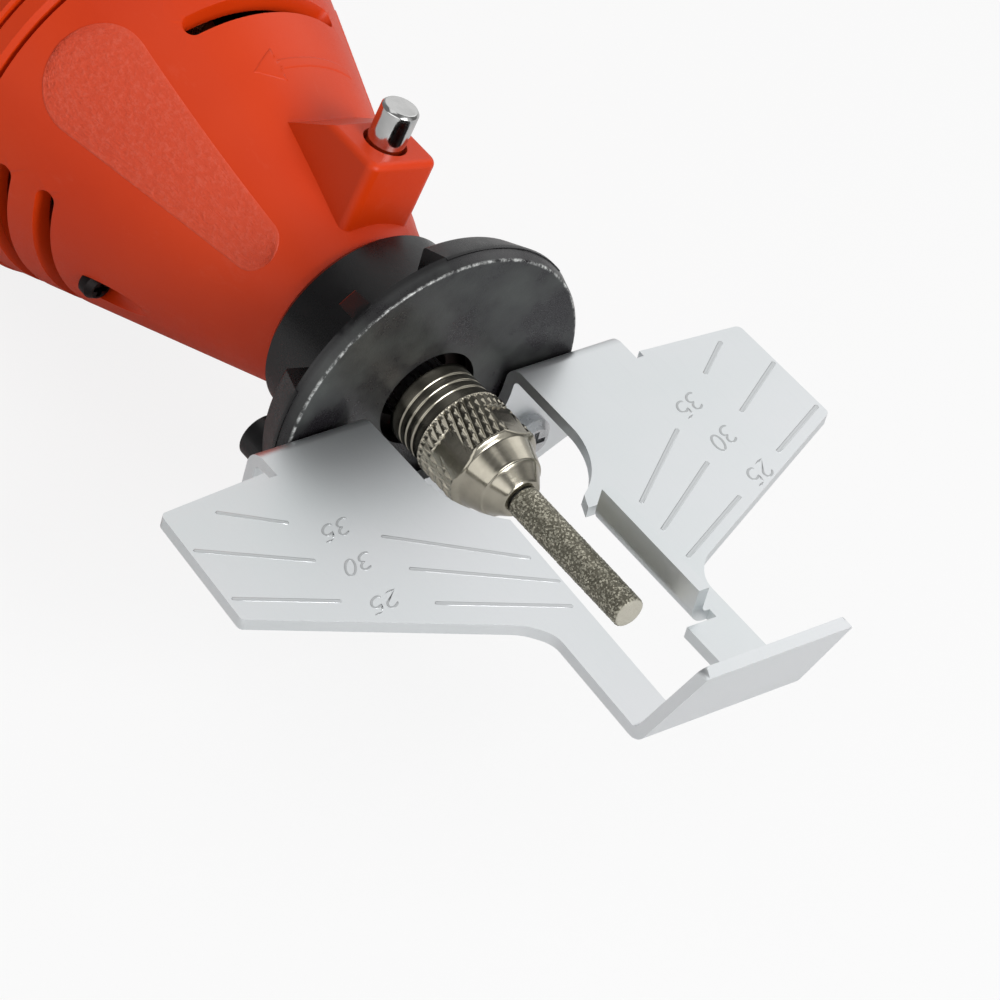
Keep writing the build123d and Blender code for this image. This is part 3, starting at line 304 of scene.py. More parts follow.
def black_plastic(name, roughness=0.42):
    """Satin black nylon with moulding grain and pale handling marks."""
    made = Finish(name, Specular_IOR_Level=0.5)
    smear = made.spread(made.noise(180, 5, 0.65), 0.5, 0.8)
    made.feed("Base Color", made.mixed(smear, linear(9, 8, 10), linear(22, 21, 24)))
    grain = made.noise(4300, 3)
    made.feed("Roughness", made.spread(grain, *GRAIN_MIDDLE, roughness - 0.08, roughness + 0.1))
    made.feed("Normal", made.bump(grain, 0.00001))
    return made.material


def worn_rim_plastic(name):
    """Black nylon whose outer front edge is rubbed pale: the rub follows the distance from the axis
    and the place along it, broken up by noise. Broad smears dull the dished face, and what lies
    behind it is painted near black, as painted shade."""
    made = Finish(name, Specular_IOR_Level=0.42)
    parts = made.axes()
    squares = [made.math("POWER", parts[axis], 2.0) for axis in "YZ"]
    radius = made.math("SQRT", made.math("ADD", *squares))
    front = made.spread(parts["X"], *DISC_FACE)
    outer = made.spread(radius, *DISC_RIM)
    broken = made.spread(made.noise(1100, 5, 0.75), 0.44, 0.62)
    rub = made.math("MULTIPLY", made.math("MULTIPLY", front, outer), broken)
    smear = made.spread(made.noise(95, 4, 0.6), 0.42, 0.72)
    # Painted shade: behind the disc's back face the nylon is painted near black.
    unshaded_front = made.spread(parts["X"], *DISC_BACK_PAINTED_SHADE)
    base = made.mixed(smear, linear(28, 26, 29), linear(58, 61, 59))
    base = made.mixed(unshaded_front, linear(4, 3, 5), base)
    made.feed("Base Color", made.mixed(rub, base, linear(188, 190, 188)))
    grain = made.noise(4000, 3)
    grain_share = made.spread(grain, *GRAIN_MIDDLE, -0.03, 0.05)
    made.feed("Roughness", made.math("ADD", made.spread(smear, 0, 1, 0.26, 0.42), grain_share))
    wavy = made.bump(made.noise(260, 3), 0.00003)
    made.feed("Normal", made.bump(grain, 0.000012, wavy))
    return made.material


def zinc_sheet(name, shade=1.0):
    """Clear zinc plate on rolled steel: cloudy spangle, fine rolling lines and light handling. The
    shade share paints shade into it where a punch has pressed the sheet, in the scale's hollows."""
    made = Finish(name, Metallic=1.0)
    cloud = made.spread(made.noise(38, 3, 0.5), 0.3, 0.7)
    lines = made.noise(240, 4, 0.6, made.stretched((1, 14, 1)))
    fine = made.noise(5200, 2)
    grey, pale, streak = (shaded(linear(*tone), shade)
                          for tone in ((221, 226, 227), (227, 229, 231), (210, 213, 216)))
    tint = made.mixed(cloud, grey, pale)
    made.feed("Base Color", made.mixed(made.spread(lines, 0.55, 0.9, 0, 0.2), tint, streak))
    made.feed("Roughness", made.spread(cloud, 0, 1, 0.36, 0.42))
    sheet = made.bump(lines, 0.000003)
    made.feed("Normal", made.bump(fine, 0.000003, sheet))
    return made.material


def bright_metal(name, colour, roughness, grain=2600, depth=0.000004, along=(1, 1, 1), metallic=1.0):
    """Turned or ground metal: a base colour with a slow stain, and grain stretched along one way.
    A lacquered or wrapped case is the same with no metallic share."""
    made = Finish(name, Metallic=metallic)
    stain = made.spread(made.noise(300, 4), 0.4, 0.75)
    made.feed("Base Color", made.mixed(stain, colour, shaded(colour, STAIN_SHADE)))
    lines = made.noise(grain, 3, 0.6, made.stretched(along))
    made.feed("Roughness", made.spread(lines, *GRAIN_MIDDLE, roughness * 0.8, roughness * 1.25))
    made.feed("Normal", made.bump(lines, depth))
    return made.material


def grit_coat(name):
    """Nickel-bonded diamond grit: dark olive bond with bright facets, a paler worn tip, and a plain
    grey shank behind the coat."""
    made = Finish(name, Metallic=0.6)
    cells = made.node("TexVoronoi", {"Vector": made.place, "Scale": 5200.0})
    facet = made.node("SeparateColor", {"Color": cells.outputs["Color"]}).outputs["Red"]
    along = made.axes()["X"]
    coat = made.spread(along, *BURR_COAT)
    tip = made.spread(along, *BURR_TIP)
    grit = made.mixed(made.spread(facet, 0.5, 1.0), linear(108, 105, 92), linear(200, 196, 178))
    coated = made.mixed(coat, linear(150, 150, 150), grit)
    made.feed("Base Color", made.mixed(tip, coated, linear(208, 204, 190)))
    made.feed("Roughness", made.spread(facet, 0, 1, 0.55, 0.28))
    made.feed("Normal", made.bump(facet, 0.00008))
    return made.material


def wound_copper(name):
    """Enamelled winding wire: a wave across the turns gives each wire its round back, as a bump and
    as painted shade and highlight, darker between the wires and lighter on their backs.
    """
    made = Finish(name, Roughness=0.32, Metallic=0.3)
    turns = made.bands(900.0, 0.6, "Y")
    made.feed("Base Color", made.mixed(turns, linear(96, 40, 16), linear(186, 98, 52)))
    made.feed("Normal", made.bump(turns, 0.0001))
    return made.material


def stacked_steel(name):
    """Varnished laminations: narrow bands along the stack."""
    made = Finish(name, Metallic=0.8)
    sheets = made.bands(320.0, 0.2, "X")
    made.feed("Base Color", made.mixed(sheets, linear(62, 64, 68), linear(118, 120, 126)))
    made.feed("Roughness", made.spread(made.noise(800), *GRAIN_MIDDLE, 0.35, 0.55))
    made.feed("Normal", made.bump(sheets, 0.00004))
    return made.material


finishes = {
    "orange": orange_plastic("orange_nylon", 0.000008),
    "orange_grip": orange_plastic("orange_nylon_grip", 0.00002, 0.22),
    "black": black_plastic("black_nylon"),
    "black_rim": worn_rim_plastic("black_nylon_worn_rim"),
    "key": black_plastic("black_switch_key", 0.25),
    "rubber": black_plastic("black_rubber", 0.65),
    "zinc": zinc_sheet("zinc_plated_sheet"),
    # Painted shade: darker copies of the zinc for the hollows of the pressed lines and digits.
    "pressed_line_painted_shade": zinc_sheet("zinc_pressed_line", 0.78),
    "pressed_digit_painted_shade": zinc_sheet("zinc_pressed_digit", 0.66),
    "zinc_screw": bright_metal("zinc_screw", linear(205, 206, 208), 0.3),
    "black_screw": bright_metal("black_oxide_screw", linear(46, 42, 42), 0.45),
    "nickel": bright_metal("dark_nickel", linear(172, 167, 153), 0.19, 3200, 0.000006,
                           (1, 0.03, 0.03)),
    "ground": bright_metal("ground_steel", linear(186, 187, 190), 0.28, 1500, 0.000004, (0.2, 1, 1)),
    "chrome": bright_metal("bright_chrome", linear(208, 208, 207), 0.12),
    "spring": bright_metal("spring_steel", linear(120, 120, 122), 0.35),
    "grit": grit_coat("diamond_grit"),
    "copper_wire": wound_copper("copper_wire"),
    "copper": bright_metal("turned_copper", linear(202, 124, 84), 0.3),
    "brass": bright_metal("drawn_brass", linear(206, 170, 96), 0.3),
    "stack": stacked_steel("stacked_laminations"),
    "carbon": black_plastic("pressed_carbon", 0.6),
    "case": bright_metal("capacitor_case", linear(190, 168, 60), 0.5, metallic=0.0),
}

node_finish = {
    "motor_housing": "orange", "rear_cap": "black", "guide_screws": "zinc_screw",
    "collet": "spring", "spindle": "ground", "lock_ring": "ground", "lock_bush": "ground",
    "lock_spring": "spring", "bearing_retainer": "black",
    "front_bearing_outer": "ground", "front_bearing_inner": "ground",
    "rear_bearing_outer": "ground", "rear_bearing_inner": "ground",
    "cooling_fan": "black", "rotor_core": "stack", "rotor_winding": "copper_wire",
    "commutator": "copper", "stator_core": "stack", "stator_coils": "copper_wire",
    "carbon_brushes": "carbon", "brush_holders": "brass", "brush_springs": "spring",
    "brush_caps": "black", "nose_screws": "black_screw", "cap_screws": "zinc_screw",
    "switch_body": "black", "switch_rocker": "key", "cord_grommet": "rubber",
    "capacitor": "case",
}
for node_name, finish_name in node_finish.items():
    mesh = cad_nodes[node_name].data
    mesh.materials.clear()
    mesh.materials.append(finishes[finish_name])


# ------------------------------------------------------------------ collet nut

NUT_SIDES = 476
NUT_REAR = -18.0
MOUTH_R = 1.75
KNURL_R = 6.0
TAIL_R = 5.6
GROOVE_R = 5.45
BORE_R = 4.05
GROOVE_COUNT = 3
GROOVE_START = -13.5
GROOVE_PITCH = 1.2
KNURL_TEETH = 38
KNURL_LEAD = 2.8
KNURL_DEPTH = 0.36
KNURL_FRONT = -5.45
KNURL_REAR = -12.2
KNURL_FADE = 0.3
LEADING_SLOPE = 1.15
CROSSING_SLOPE = 1.4
CROSSING_FLOOR = 0.42
# Only points further out than these radii are knurled or belong to the outside.
KNURL_FROM_R = 5.8
OUTSIDE_R = 5.0
FLAT_REAR = -10.0
FLAT_DISTANCE = 5.48
FLAT_MIDDLE = math.radians(155)
FLAT_COUNT = 4


def nut_relief(along, angle, radius):
    """Change of the nut's radius. The knurl is the lower of two trains of ridges, which climb in
    opposite helices: for each, the ridge is the distance of (teeth angle / turn -+ along / lead)
    from a whole number, and the second train is cut less deep. Each flat limits the radius to
    distance / cos(angle from its middle)."""
    right = KNURL_TEETH * angle / TURN + along / KNURL_LEAD
    left = KNURL_TEETH * angle / TURN - along / KNURL_LEAD
    leading, crossing = [np.abs(part - np.round(part)) * 2 for part in (left, right)]
    deep = np.clip(LEADING_SLOPE * leading, 0, 1)
    shallow = CROSSING_FLOOR + (1 - CROSSING_FLOOR) * np.clip(CROSSING_SLOPE * crossing, 0, 1)
    behind_front = 1 - smoothed_step(KNURL_FRONT - KNURL_FADE, KNURL_FRONT, along)
    before_rear = smoothed_step(KNURL_REAR, KNURL_REAR + KNURL_FADE, along)
    banded = before_rear * behind_front * (radius > KNURL_FROM_R)
    knurled = -KNURL_DEPTH * (1 - np.minimum(deep, shallow)) * banded
    sector = TURN / FLAT_COUNT
    off_middle = (angle - FLAT_MIDDLE + sector / 2) % sector - sector / 2
    limit = FLAT_DISTANCE / np.cos(off_middle)
    flat = np.minimum(limit - (radius + knurled), 0) * (radius > OUTSIDE_R) * (along > FLAT_REAR)
    return knurled + flat


def make_nut():
    """Collet nut, turned from its mouth over the cone, knurl and tail and back through its bore."""
    outside = [(0.0, MOUTH_R), (0.0, 2.5), (-0.18, 2.68), (-2.02, 4.0), (-2.1, 4.25), (-4.82, 5.2),
               (-4.95, 5.3), (-5.4, KNURL_R)]
    knurl = fine_profile([(station, KNURL_R) for station in (-5.45, -9.98, -10.02, -12.1)], 0.085)
    tail = [(-12.4, TAIL_R)]
    for groove in range(GROOVE_COUNT):
        start = GROOVE_START - GROOVE_PITCH * groove
        tail += [(start, TAIL_R), (start - 0.1, GROOVE_R), (start - 0.2, GROOVE_R),
                 (start - 0.3, TAIL_R)]
    tail += [(NUT_REAR + 0.15, TAIL_R), (NUT_REAR, GROOVE_R)]
    bore = [(NUT_REAR, BORE_R), (-5.6, BORE_R), (-5.4, 3.5), (-1.2, 2.6), (-1.2, MOUTH_R)]
    front = fine_profile(eased_corners(outside, 0.07), 0.3)
    rear = fine_profile(eased_corners([knurl[-1], *tail, *bore], 0.06), 0.8)
    profile = np.vstack([front[:-1], knurl[:-1], rear])
    points = turned_points(profile, NUT_SIDES, nut_relief)
    faces = grid_faces(len(profile), NUT_SIDES, True, True)
    return put_piece("knurled_nut", points, faces, finishes["nickel"], "nut",
                     ["collet_nut"])


make_nut()


# ------------------------------------------------------------------------ burr

BURR_SIDES = 150
BURR_SEED = 7
GRIT_HEIGHT = 0.1
HEAD_R = 2.0
HEAD_END = 20.4
SHANK_R = 1.5875
SHANK_END = -14.2


def grit_height(along, angle, radius):
    """Random grain on the coated head: uniform noise averaged with its neighbours along and round
    the head. It fades in ahead of the shank and leaves out the middle of the tip."""
    grains = np.random.default_rng(BURR_SEED).uniform(-1, 1, along.shape)
    for axis in (0, 1):
        grains = (np.roll(grains, 1, axis) + 2 * grains + np.roll(grains, -1, axis)) / 4
    coated = smoothed_step(0.3, 0.6, along) * (radius > 0.5)
    return GRIT_HEIGHT * grains * coated


def make_burr():
    """Burr: gritted head with a rounded blunt tip, on a ground shank."""
    head = fine_profile([(0.4, HEAD_R), (HEAD_END - 0.4, HEAD_R)], 0.075)
    tip = [(20.25, 1.95), (20.36, 1.82), (HEAD_END, 1.6), (HEAD_END, 0.9), (HEAD_END, 0.0)]
    shank = [(SHANK_END, 0.0), (SHANK_END, 1.4), (SHANK_END + 0.2, SHANK_R), (-0.02, SHANK_R),
             (0.08, 1.7), (0.3, 1.95)]
    profile = np.vstack([fine_profile(shank, 0.5), head, fine_profile(tip, 0.12)])
    points = turned_points(profile, BURR_SIDES, grit_height)
    faces = grid_faces(len(profile), BURR_SIDES, False, True)
    return put_piece("gritted_burr", points, faces, finishes["grit"], "bit",
                     ["burr"])


make_burr()


# -------------------------------------------------------------------- lock pin

PIN_SIDES = 96
PIN_X = -40.1
PIN_FOOT = 7.3
PIN_TOP = 25.7
PIN_SHAFT_R = 1.95
PIN_COLLAR_R = 3.0
PIN_BUTTON_R = 2.35
COLLAR_FOOT = 16.39
COLLAR_TOP = 17.59


def make_lock_pin():
    """Lock pin turned about its own axis, which stands on the housing's up direction: foot, shaft,
    collar and button, as heights above the spindle and radii."""
    outline = [(PIN_FOOT, 0.0), (PIN_FOOT, PIN_SHAFT_R), (COLLAR_FOOT, PIN_SHAFT_R),
               (COLLAR_FOOT, PIN_COLLAR_R), (COLLAR_TOP, PIN_COLLAR_R), (COLLAR_TOP, PIN_BUTTON_R),
               (PIN_TOP - 0.4, PIN_BUTTON_R), (PIN_TOP, 2.0), (PIN_TOP, 0.0)]
    profile = fine_profile(eased_corners(outline, 0.08), 1.0)
    height, side, forward = np.moveaxis(turned_points(profile, PIN_SIDES), -1, 0)
    points = rolled(np.stack([forward + PIN_X, side, height], -1))
    faces = grid_faces(len(points), PIN_SIDES, False, True)
    return put_piece("lock_pin_button", points, faces, finishes["chrome"], "pin",
                     ["lock_pin"])


make_lock_pin()


# ------------------------------------------------------------- marks on the nose

CONE_FRONT_X, CONE_FRONT_R = -33.4, 11.3
CONE_REAR_X, CONE_REAR_R = -75.6, 26.1
SKIN_SINK = 0.05
SKIN_ROOT = 0.3

PAD_ROWS = 190
PAD_COLUMNS = 130
PAD_FRONT = -38.4
PAD_REAR = -72.6
PAD_LIFT = 0.09
PAD_GRAIN = 0.05
PAD_EDGE = 0.35
PAD_GRAIN_BAND = (0.2, 0.9)
# Degrees from the lock boss to the pad's middle and half the pad's width in degrees, each at the
# pad's front and rear, and how far its two ends are rounded.
BOSS_ANGLE = 90
PAD_FROM_BOSS = (64, 60.5)
PAD_HALF_WIDTH = (13.5, 19)
PAD_ROUNDS = (2.5, 6.5)

ARROW_X = -57.1
ARROW_LIFT = 0.08
ARROW_EDGE = 0.25
ARROW_BAR_HALF = 0.75
ARROW_HEAD_HALF = 2.35
ARROW_TIP_HALF = 0.02
BAR_ROWS, HEAD_ROWS, ARROW_COLUMNS = 30, 12, 13
ARROW_TAIL, ARROW_NECK, ARROW_POINT = (math.radians(degrees) for degrees in (47, 86, 97))


def nose_radius(along):
    """Outer radius of the nose cone."""
    slope = (CONE_REAR_R - CONE_FRONT_R) / (CONE_FRONT_X - CONE_REAR_X)
    return CONE_FRONT_R + slope * (CONE_FRONT_X - along)


def cone_skin(place, angle, top):
    """Points of a closed skin on the cone: the top, a radius for each place and angle of a grid,
    and the same grid run back a little under the cone."""
    under = nose_radius(place[:, ::-1]) - SKIN_ROOT
    radius = np.hstack([top, under])
    place, angle = (np.hstack([part, part[:, ::-1]]) for part in (place, angle))
    return np.stack([place, radius * np.cos(angle), radius * np.sin(angle)], -1)


def put_skin(name, points, finish):
    """Piece on the nose from the points of a closed skin."""
    faces = grid_faces(*points.shape[:2], False, True)
    return put_piece(name, points, faces, finishes[finish], "housing")


def rounded_ends(along, start_round, end_round):
    """Half-width factor of a strip with elliptical ends: sqrt(1 - (1 - d / r)^2) within r of each."""
    from_start = np.clip(np.abs(along - along[0]) / start_round, 0, 1)
    from_end = np.clip(np.abs(along - along[-1]) / end_round, 0, 1)
    return np.sqrt(1 - (1 - from_start) ** 2) * np.sqrt(1 - (1 - from_end) ** 2)


def make_grip_pad(name, side, seed):
    """Textured grip pad on one side of the lock boss, wider at the rear. Each row has a place along
    the axis, a middle angle and a half width in degrees; across it the surface climbs from just
    under the cone to the lift within the edge band, where random grain sets in too."""
    ease = (1 - np.cos(np.linspace(0, math.pi, PAD_ROWS))) / 2
    along = PAD_FRONT - (PAD_FRONT - PAD_REAR) * ease
    part = (along - along[0]) / (along[-1] - along[0])
    middle = BOSS_ANGLE + side * np.interp(part, (0, 1), PAD_FROM_BOSS)
    half = np.interp(part, (0, 1), PAD_HALF_WIDTH) * rounded_ends(along, *PAD_ROUNDS)
    across = np.linspace(-1, 1, PAD_COLUMNS)
    angle = np.radians(middle[:, None] + half[:, None] * across)
    place = np.repeat(along[:, None], PAD_COLUMNS, 1)
    base = nose_radius(place)
    width = np.maximum(half[:, None], 1e-3) * base * math.pi / 180
    inward = (1 - np.abs(across)) * width
    rise = (PAD_LIFT + SKIN_SINK) * smoothed_step(0, PAD_EDGE, inward)
    grain = np.random.default_rng(seed).uniform(-1, 1, base.shape)
    rough = PAD_GRAIN * grain * smoothed_step(*PAD_GRAIN_BAND, inward)
    top = base - SKIN_SINK + (rise + rough) * all_but_ends(PAD_ROWS)[:, None]
    return put_skin(name, rolled(cone_skin(place, angle, top)), "orange_grip")


make_grip_pad("grip_pad_left", 1, 11)
make_grip_pad("grip_pad_right", -1, 12)


def make_turn_arrow():
    """Raised arrow round the nose that shows which way the spindle turns: a bar and then a head that
    narrows to its point."""
    angles = np.concatenate([np.linspace(ARROW_TAIL, ARROW_NECK, BAR_ROWS),
                             np.linspace(ARROW_NECK, ARROW_POINT, HEAD_ROWS)])
    half = np.concatenate([np.full(BAR_ROWS, ARROW_BAR_HALF),
                           np.linspace(ARROW_HEAD_HALF, ARROW_TIP_HALF, HEAD_ROWS)])[:, None]
    across = np.linspace(-1, 1, ARROW_COLUMNS)
    place = ARROW_X + half * across
    edge = smoothed_step(0, ARROW_EDGE, (1 - np.abs(across)) * half)
    rise = (ARROW_LIFT + SKIN_SINK) * edge * all_but_ends(len(angles))[:, None]
    top = nose_radius(place) - SKIN_SINK + rise
    angle = np.repeat(angles[:, None], ARROW_COLUMNS, 1)
    return put_skin("turn_arrow", cone_skin(place, angle, top), "orange")


make_turn_arrow()


# ----------------------------------------------------------------- guide plate

SHEET_TOP = 2.5
WING_TIP, LEG_SIDE, SLOT_LEFT, SLOT_RIGHT, LEG_MIDDLE = 42.6, 11.3, -5.6, 2.6, 6.9
WING_REAR, WING_FRONT = -12.3, 24.4
SLOT_START, SLOT_END = 4.3, 34.4
LIP_X = 38.6
WING_SLOPE = math.tan(math.radians(25))
LIP_SHIFT = (-2.0, -1.8)
LIP_LEAN = 0.079
JOIN_ANGLE = math.radians(0.5)
EASE_ANGLE = math.radians(32)
EASE_SEGMENTS = 2
FLAT_WEIGHT = 60


def settled_plate(points):
    """Measured shape of the stamped plate, from the points of the symmetrical CAD plate. It moves
    them by up to 2.7 mm, most at the foot of the lip, so the plate that shows is not the plate that
    collides. A change of shape like this belongs in the part's source, not here.
    Across the plate, each point is shifted by a share that runs straight between seven lines of
    constant y, where the shift follows x: the wing tips, the legs' outer sides, the slot's sides and
    the middle of the right leg. Lengthwise, the wing fronts, the slot's end and the lip are shifted
    by shares that fade towards the holder."""
    x, y, z = points.T
    legs = smoothed_step(4, 16, x)
    shifts = {
        -WING_TIP: -0.3 - 0.9 * np.clip((x + 12) / 17, 0, 1),
        -LEG_SIDE: -0.95 * legs - 0.85 * smoothed_step(20, 38, x),
        SLOT_LEFT: -1.5 * np.clip((x - SLOT_START) / (SLOT_END - SLOT_START), 0, 1),
        SLOT_RIGHT: 0 * x,
        LEG_MIDDLE: -0.8 * smoothed_step(27, 34, x),
        LEG_SIDE: -1.9 * legs,
        WING_TIP: -0.7 + 0 * x,
    }
    shares = [np.interp(y, list(shifts), row) for row in np.eye(len(shifts))]
    sideways = sum(share * shift for share, shift in zip(shares, shifts.values()))
    front = np.clip((x - SLOT_END) / (LIP_X - SLOT_END), 0, 1)
    sideways += (LIP_SHIFT[1] - sideways) * front
    edge = WING_FRONT - WING_SLOPE * np.abs(y)
    drawn = np.where(y < 0, 1.4, -0.4) - WING_SLOPE * sideways * np.sign(y)
    from_rear = np.clip((x - WING_REAR) / (edge - WING_REAR), 0, 1)
    wing = drawn * from_rear * smoothed_step(8, 13, np.abs(y)) * (1 - smoothed_step(19, 24, x))
    lengthwise = wing + np.interp(x, (25, SLOT_END, LIP_X), (0, 1.6, LIP_SHIFT[0]))
    lengthwise += LIP_LEAN * np.maximum(z - SHEET_TOP, 0) * (x > LIP_X - 0.6)
    return np.stack([x + lengthwise, y + sideways, z], -1)


def eased_copy(node, name, finish, body, width, settle=None):
    """Copy of a CAD part, welded, with its flats joined into single faces and its edges eased. A
    settle function gives its points their final places, in millimetres."""
    mesh = cad_nodes[node].data.copy()
    mesh.name = name
    work = bmesh.new()
    work.from_mesh(mesh)
    bmesh.ops.remove_doubles(work, verts=work.verts, dist=CAD_WELD)
    bmesh.ops.dissolve_limit(work, angle_limit=JOIN_ANGLE, verts=work.verts, edges=work.edges)
    work.to_mesh(mesh)
    work.free()
    if settle:
        points = np.empty(len(mesh.vertices) * 3)
        mesh.vertices.foreach_get("co", points)
        mesh.vertices.foreach_set("co", (settle(points.reshape(-1, 3) / MM) * MM).ravel())
    mesh.polygons.foreach_set("use_smooth", np.ones(len(mesh.polygons), bool))
    piece = dress_piece(name, mesh, finishes[finish], body, [node])
    ease = piece.modifiers.new("eased_edges", "BEVEL")
    ease.width = width * MM
    ease.segments = EASE_SEGMENTS
    ease.limit_method = "ANGLE"
    ease.angle_limit = EASE_ANGLE
    even = piece.modifiers.new("even_flats", "WEIGHTED_NORMAL")
    even.mode = "FACE_AREA"
    even.weight = FLAT_WEIGHT
    return piece


eased_copy("guide_plate", "folded_plate", "zinc", "guide", 0.14, settled_plate)
eased_copy("guide_holder", "swivel_holder", "black_rim", "guide", 0.22)
eased_copy("nose_housing", "moulded_nose", "orange", "housing", 0.4)


def pressed_stroke(name, path, width, finish):
    """Stroke pressed into the sheet, as a low ribbon along a flat path: two soft banks with a
    hollow between them. Its section is set across the path's left-hand normal at each point, and
    its end sections are drawn in to the path."""
    path = np.asarray(path, float)
    heading = np.gradient(path, axis=0)
    heading /= np.linalg.norm(heading, axis=1, keepdims=True)
    normal = np.stack([-heading[:, 1], heading[:, 0]], -1)
    across = np.array([-0.5, -0.5, -0.36, -0.12, 0.12, 0.36, 0.5, 0.5]) * width
    height = np.array([-0.04, 0.0, 0.028, 0.006, 0.006, 0.028, 0.0, -0.04])
    narrow = all_but_ends(len(path))
    flat = path[:, None, :] + normal[:, None, :] * across[None, :, None] * narrow[:, None, None]
    level = SHEET_TOP + np.broadcast_to(height, flat.shape[:2]) * narrow[:, None]
    points = np.concatenate([flat, level[..., None]], -1)
    faces = grid_faces(len(path), len(across), False, True)
    return put_piece(name, points, faces, finishes[finish], "guide")


def on_scale(degrees, crossing, reach):
    """Place on a scale line, which meets the spindle axis at a crossing: x = crossing - |y| tan a."""
    return np.array([crossing - abs(reach) * math.tan(math.radians(degrees)), reach])


def arc(middle, radii, start, end, count=14):
    """Points of an ellipse arc between two angles in degrees."""
    angle = np.radians(np.linspace(start, end, count))
    return np.stack([middle[0] + radii[0] * np.cos(angle), middle[1] + radii[1] * np.sin(angle)], -1)


def digit_strokes(digit):
    """Strokes of the digit 0, 2, 3 or 5 in a box one unit tall and 0.6 wide."""
    if digit == "0":
        return [arc((0.3, 0.5), (0.28, 0.48), 90, 450, 28)]
    if digit == "2":
        neck = arc((0.3, 0.71), (0.28, 0.28), 165, -25)
        foot = np.array([[0.0, 0.02], [0.3, 0.02], [0.6, 0.02]])
        return [np.vstack([neck, [[0.02, 0.02]]]), foot]
    if digit == "3":
        return [arc((0.28, 0.74), (0.27, 0.25), 150, -85),
                arc((0.28, 0.26), (0.31, 0.26), 85, -150)]
    flag = np.array([[0.56, 0.98], [0.33, 0.98], [0.1, 0.98]])
    stem = np.array([[0.1, 0.98], [0.07, 0.77], [0.04, 0.55]])
    return [flag, stem, arc((0.27, 0.31), (0.31, 0.31), 138, -150, 18)]


# For each angle, where its line meets the spindle axis, and on each wing the |y| of the outer line's
# two ends, the number's middle and the inner line's two ends.
SCALE_CROSSING = {25: 22.2, 30: 18.55, 35: 15.45}
SCALE_LEFT = {25: (42.9, 31.6, 27.2, 22.0, 7.5), 30: (42.4, 30.5, 26.4, 21.4, 6.4),
              35: (36.5, 29.7, 25.4, 21.2, 7.2)}
SCALE_RIGHT = {25: (41.4, 31.5, 27.2, 22.4, 9.9), 30: (41.4, 31.8, 26.8, 22.5, 10.0),
               35: (37.6, 31.9, 26.6, 22.7, 10.5)}
# The direction in which a wing's numbers are read, and the direction of their tops.
LEFT_READING = ((0.094, -0.996), (0.90, -0.43))
RIGHT_READING = ((0.347, -0.938), (1.0, -0.03))
LINE_WIDTH = 0.58
LINE_END = 0.12
DIGIT_HEIGHT = 2.6
DIGIT_WIDTH = 0.3
DIGIT_OFFSET = 0.42
DIGIT_MIDDLE = (0.3, 0.5)


def make_scale():
    """Angle marks on both wings: for each angle an outer and an inner line, and its number in the
    gap between them, read from the front."""
    for side, label, marks, reading in ((-1, "left", SCALE_LEFT, LEFT_READING),
                                        (1, "right", SCALE_RIGHT, RIGHT_READING)):
        axes = DIGIT_HEIGHT * np.array(reading)
        for degrees, (outer, outer_in, middle, inner, root) in marks.items():
            crossing = SCALE_CROSSING[degrees]
            for part, (start, end) in enumerate(((outer, outer_in), (inner, root))):
                inside = np.linspace(start - LINE_END, end + LINE_END, 10)
                steps = np.concatenate([[start], inside, [end]])
                path = np.array([on_scale(degrees, crossing, side * step) for step in steps])
                pressed_stroke(f"scale_{degrees}_{label}_{part}", path, LINE_WIDTH, "pressed_line_painted_shade")
            centre = on_scale(degrees, crossing, side * middle)
            for offset, digit in zip((-DIGIT_OFFSET, DIGIT_OFFSET), str(degrees)):
                for part, stroke in enumerate(digit_strokes(digit)):
                    path = centre + (stroke - DIGIT_MIDDLE + (offset, 0)) @ axes
                    name = f"digit_{degrees}_{label}_{digit}_{part}"
                    pressed_stroke(name, path, DIGIT_WIDTH, "pressed_digit_painted_shade")


make_scale()


# --------------------------------------------------------------- camera and light

def make_camera():
    """Long-lens camera above the guide's left, looking down on the nose."""
    right = Vector((0.586206, 0.780042, 0.218852))
    up = Vector((-0.625039, 0.263576, 0.734748))
    back = Vector((0.515450, -0.567505, 0.642067))
    place = Vector((348.47, -387.12, 435.16)) * MM
    data = bpy.data.cameras.new("camera")
    data.sensor_width = 36
    data.lens = 216
    data.clip_start, data.clip_end = 0.05, 20
    camera = place_object("camera", data)
    camera.matrix_world = Matrix.Translation(place) @ Matrix((right, up, back)).transposed().to_4x4()
    bpy.context.scene.camera = camera


def add_lamp(name, place, aim, size, power):
    """Soft square lamp at a place, turned towards an aim point; size in metres, power in watts."""
    data = bpy.data.lights.new(name, "AREA")
    data.shape = "SQUARE"
    data.size = size
    data.energy = power
    lamp = place_object(name, data)
    turn = (Vector(aim) - Vector(place)).to_track_quat("-Z", "Y")
    lamp.matrix_world = Matrix.Translation(place) @ turn.to_matrix().to_4x4()


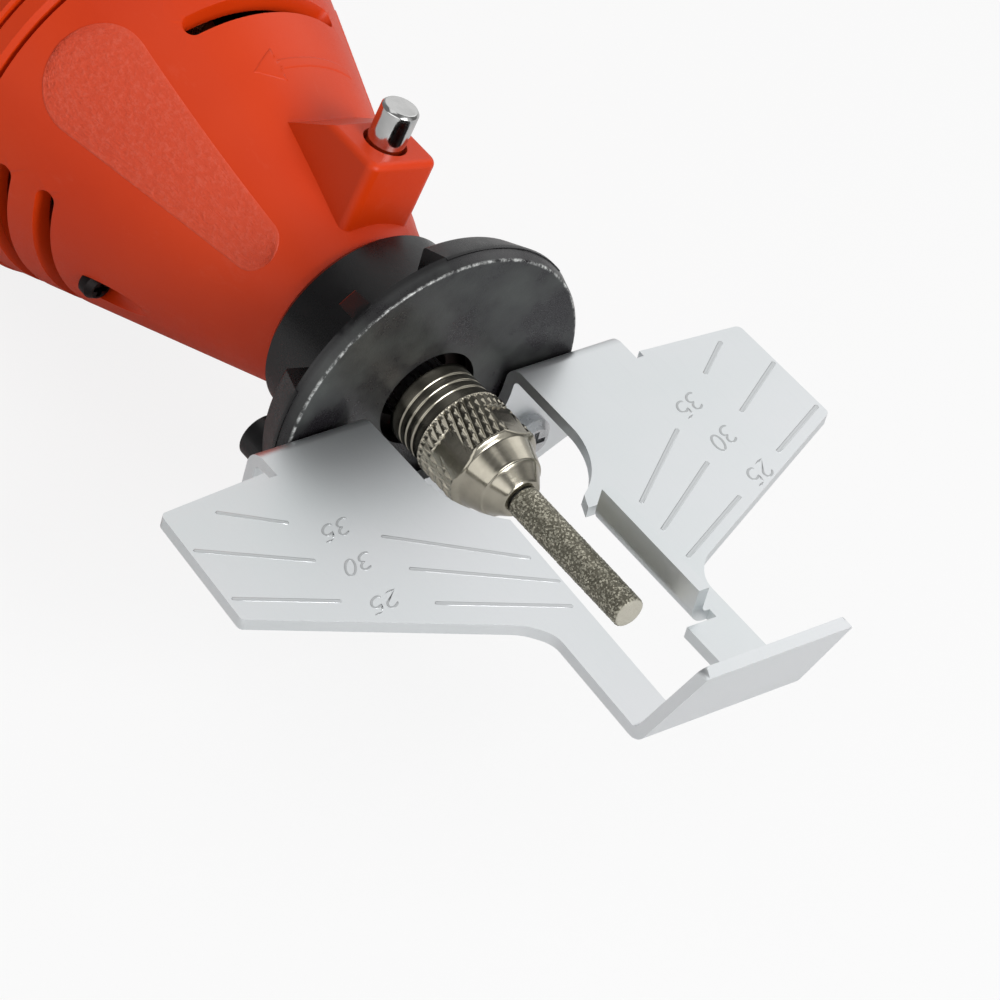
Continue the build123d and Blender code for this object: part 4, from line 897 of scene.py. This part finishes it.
def make_floor():
    """Pale floor that keeps the shadow and shows white to the camera."""
    reach, level, shown_white = 3.0, -0.0296, 0.86
    corners = [(across * reach, along * reach, level)
               for across, along in ((-1, -1), (1, -1), (1, 1), (-1, 1))]
    mesh = bpy.data.meshes.new("floor")
    mesh.from_pydata(corners, [], [(0, 1, 2, 3)])
    floor = place_object("floor", mesh)
    made = Finish("pale_floor", Roughness=0.8)
    tone = made.spread(made.noise(3, 2), 0.3, 0.7)
    made.feed("Base Color", made.mixed(tone, (0.66, 0.66, 0.66, 1), (0.68, 0.68, 0.68, 1)))
    glow = made.node("Emission", {"Color": (1, 1, 1, 1), "Strength": 1.0})
    path = made.node("LightPath", {})
    seen = made.math("MULTIPLY", path.outputs["Is Camera Ray"], shown_white)
    blend = made.node("MixShader", {0: seen, 1: made.shader.outputs[0], 2: glow.outputs[0]})
    output = made.tree.nodes["Material Output"]
    made.tree.links.new(blend.outputs[0], output.inputs["Surface"])
    mesh.materials.append(made.material)


ROOM_STRENGTH = 0.2
SKY_STRENGTH = 0.5
# Each panel's middle direction, the cosines between which it brightens, and its strength.
PANELS = (((0.35, -0.93, 0.12), (0.70, 0.90), 1.5), ((-0.45, 0.66, 0.60), (0.55, 0.92), 0.68),
          ((0.9, 0.2, 0.35), (0.75, 0.92), 0.5))


def make_world():
    """Even pale surroundings; camera rays see plain white. Polished parts mirror a darker room with
    soft panels: each is a smooth step of the cosine of the angle from its middle direction."""
    world = bpy.data.worlds.new("studio")
    bpy.context.scene.world = world
    world.use_nodes = True
    world.node_tree.nodes.clear()
    node = partial(add_node, world.node_tree)
    direction = node("TexCoord", {}).outputs["Generated"]
    total = ROOM_STRENGTH
    for middle, (dim, full), strength in PANELS:
        aim = Vector(middle).normalized()
        facing = node("VectorMath", {0: direction, 1: aim}, operation="DOT_PRODUCT").outputs["Value"]
        inputs = {"Value": facing, "From Min": dim, "From Max": full, "To Max": strength}
        panel = node("MapRange", inputs, interpolation_type="SMOOTHSTEP").outputs["Result"]
        total = node("Math", {0: panel, 1: total}, operation="ADD").outputs[0]
    mirrored, lit, seen = (
        node("Background", {"Color": (1, 1, 1, 1), "Strength": strength}).outputs[0]
        for strength in (total, SKY_STRENGTH, 1.0))
    path = node("LightPath", {}).outputs
    inner = node("MixShader", {0: path["Is Glossy Ray"], 1: lit, 2: mirrored}).outputs[0]
    outer = node("MixShader", {0: path["Is Camera Ray"], 1: inner, 2: seen}).outputs[0]
    node("OutputWorld", {"Surface": outer})


make_camera()
make_floor()
make_world()
add_lamp("key_lamp", (-0.2, -0.2, 0.95), (-0.03, 0, 0), 0.6, 0.9)
add_lamp("front_lamp", (0.65, 0.05, 0.42), (-0.04, 0, 0), 0.4, 5)
add_lamp("side_lamp", (-0.1, 0.75, 0.55), (0, 0, 0), 0.6, 0.8)
bpy.context.scene.view_settings.view_transform = "Standard"
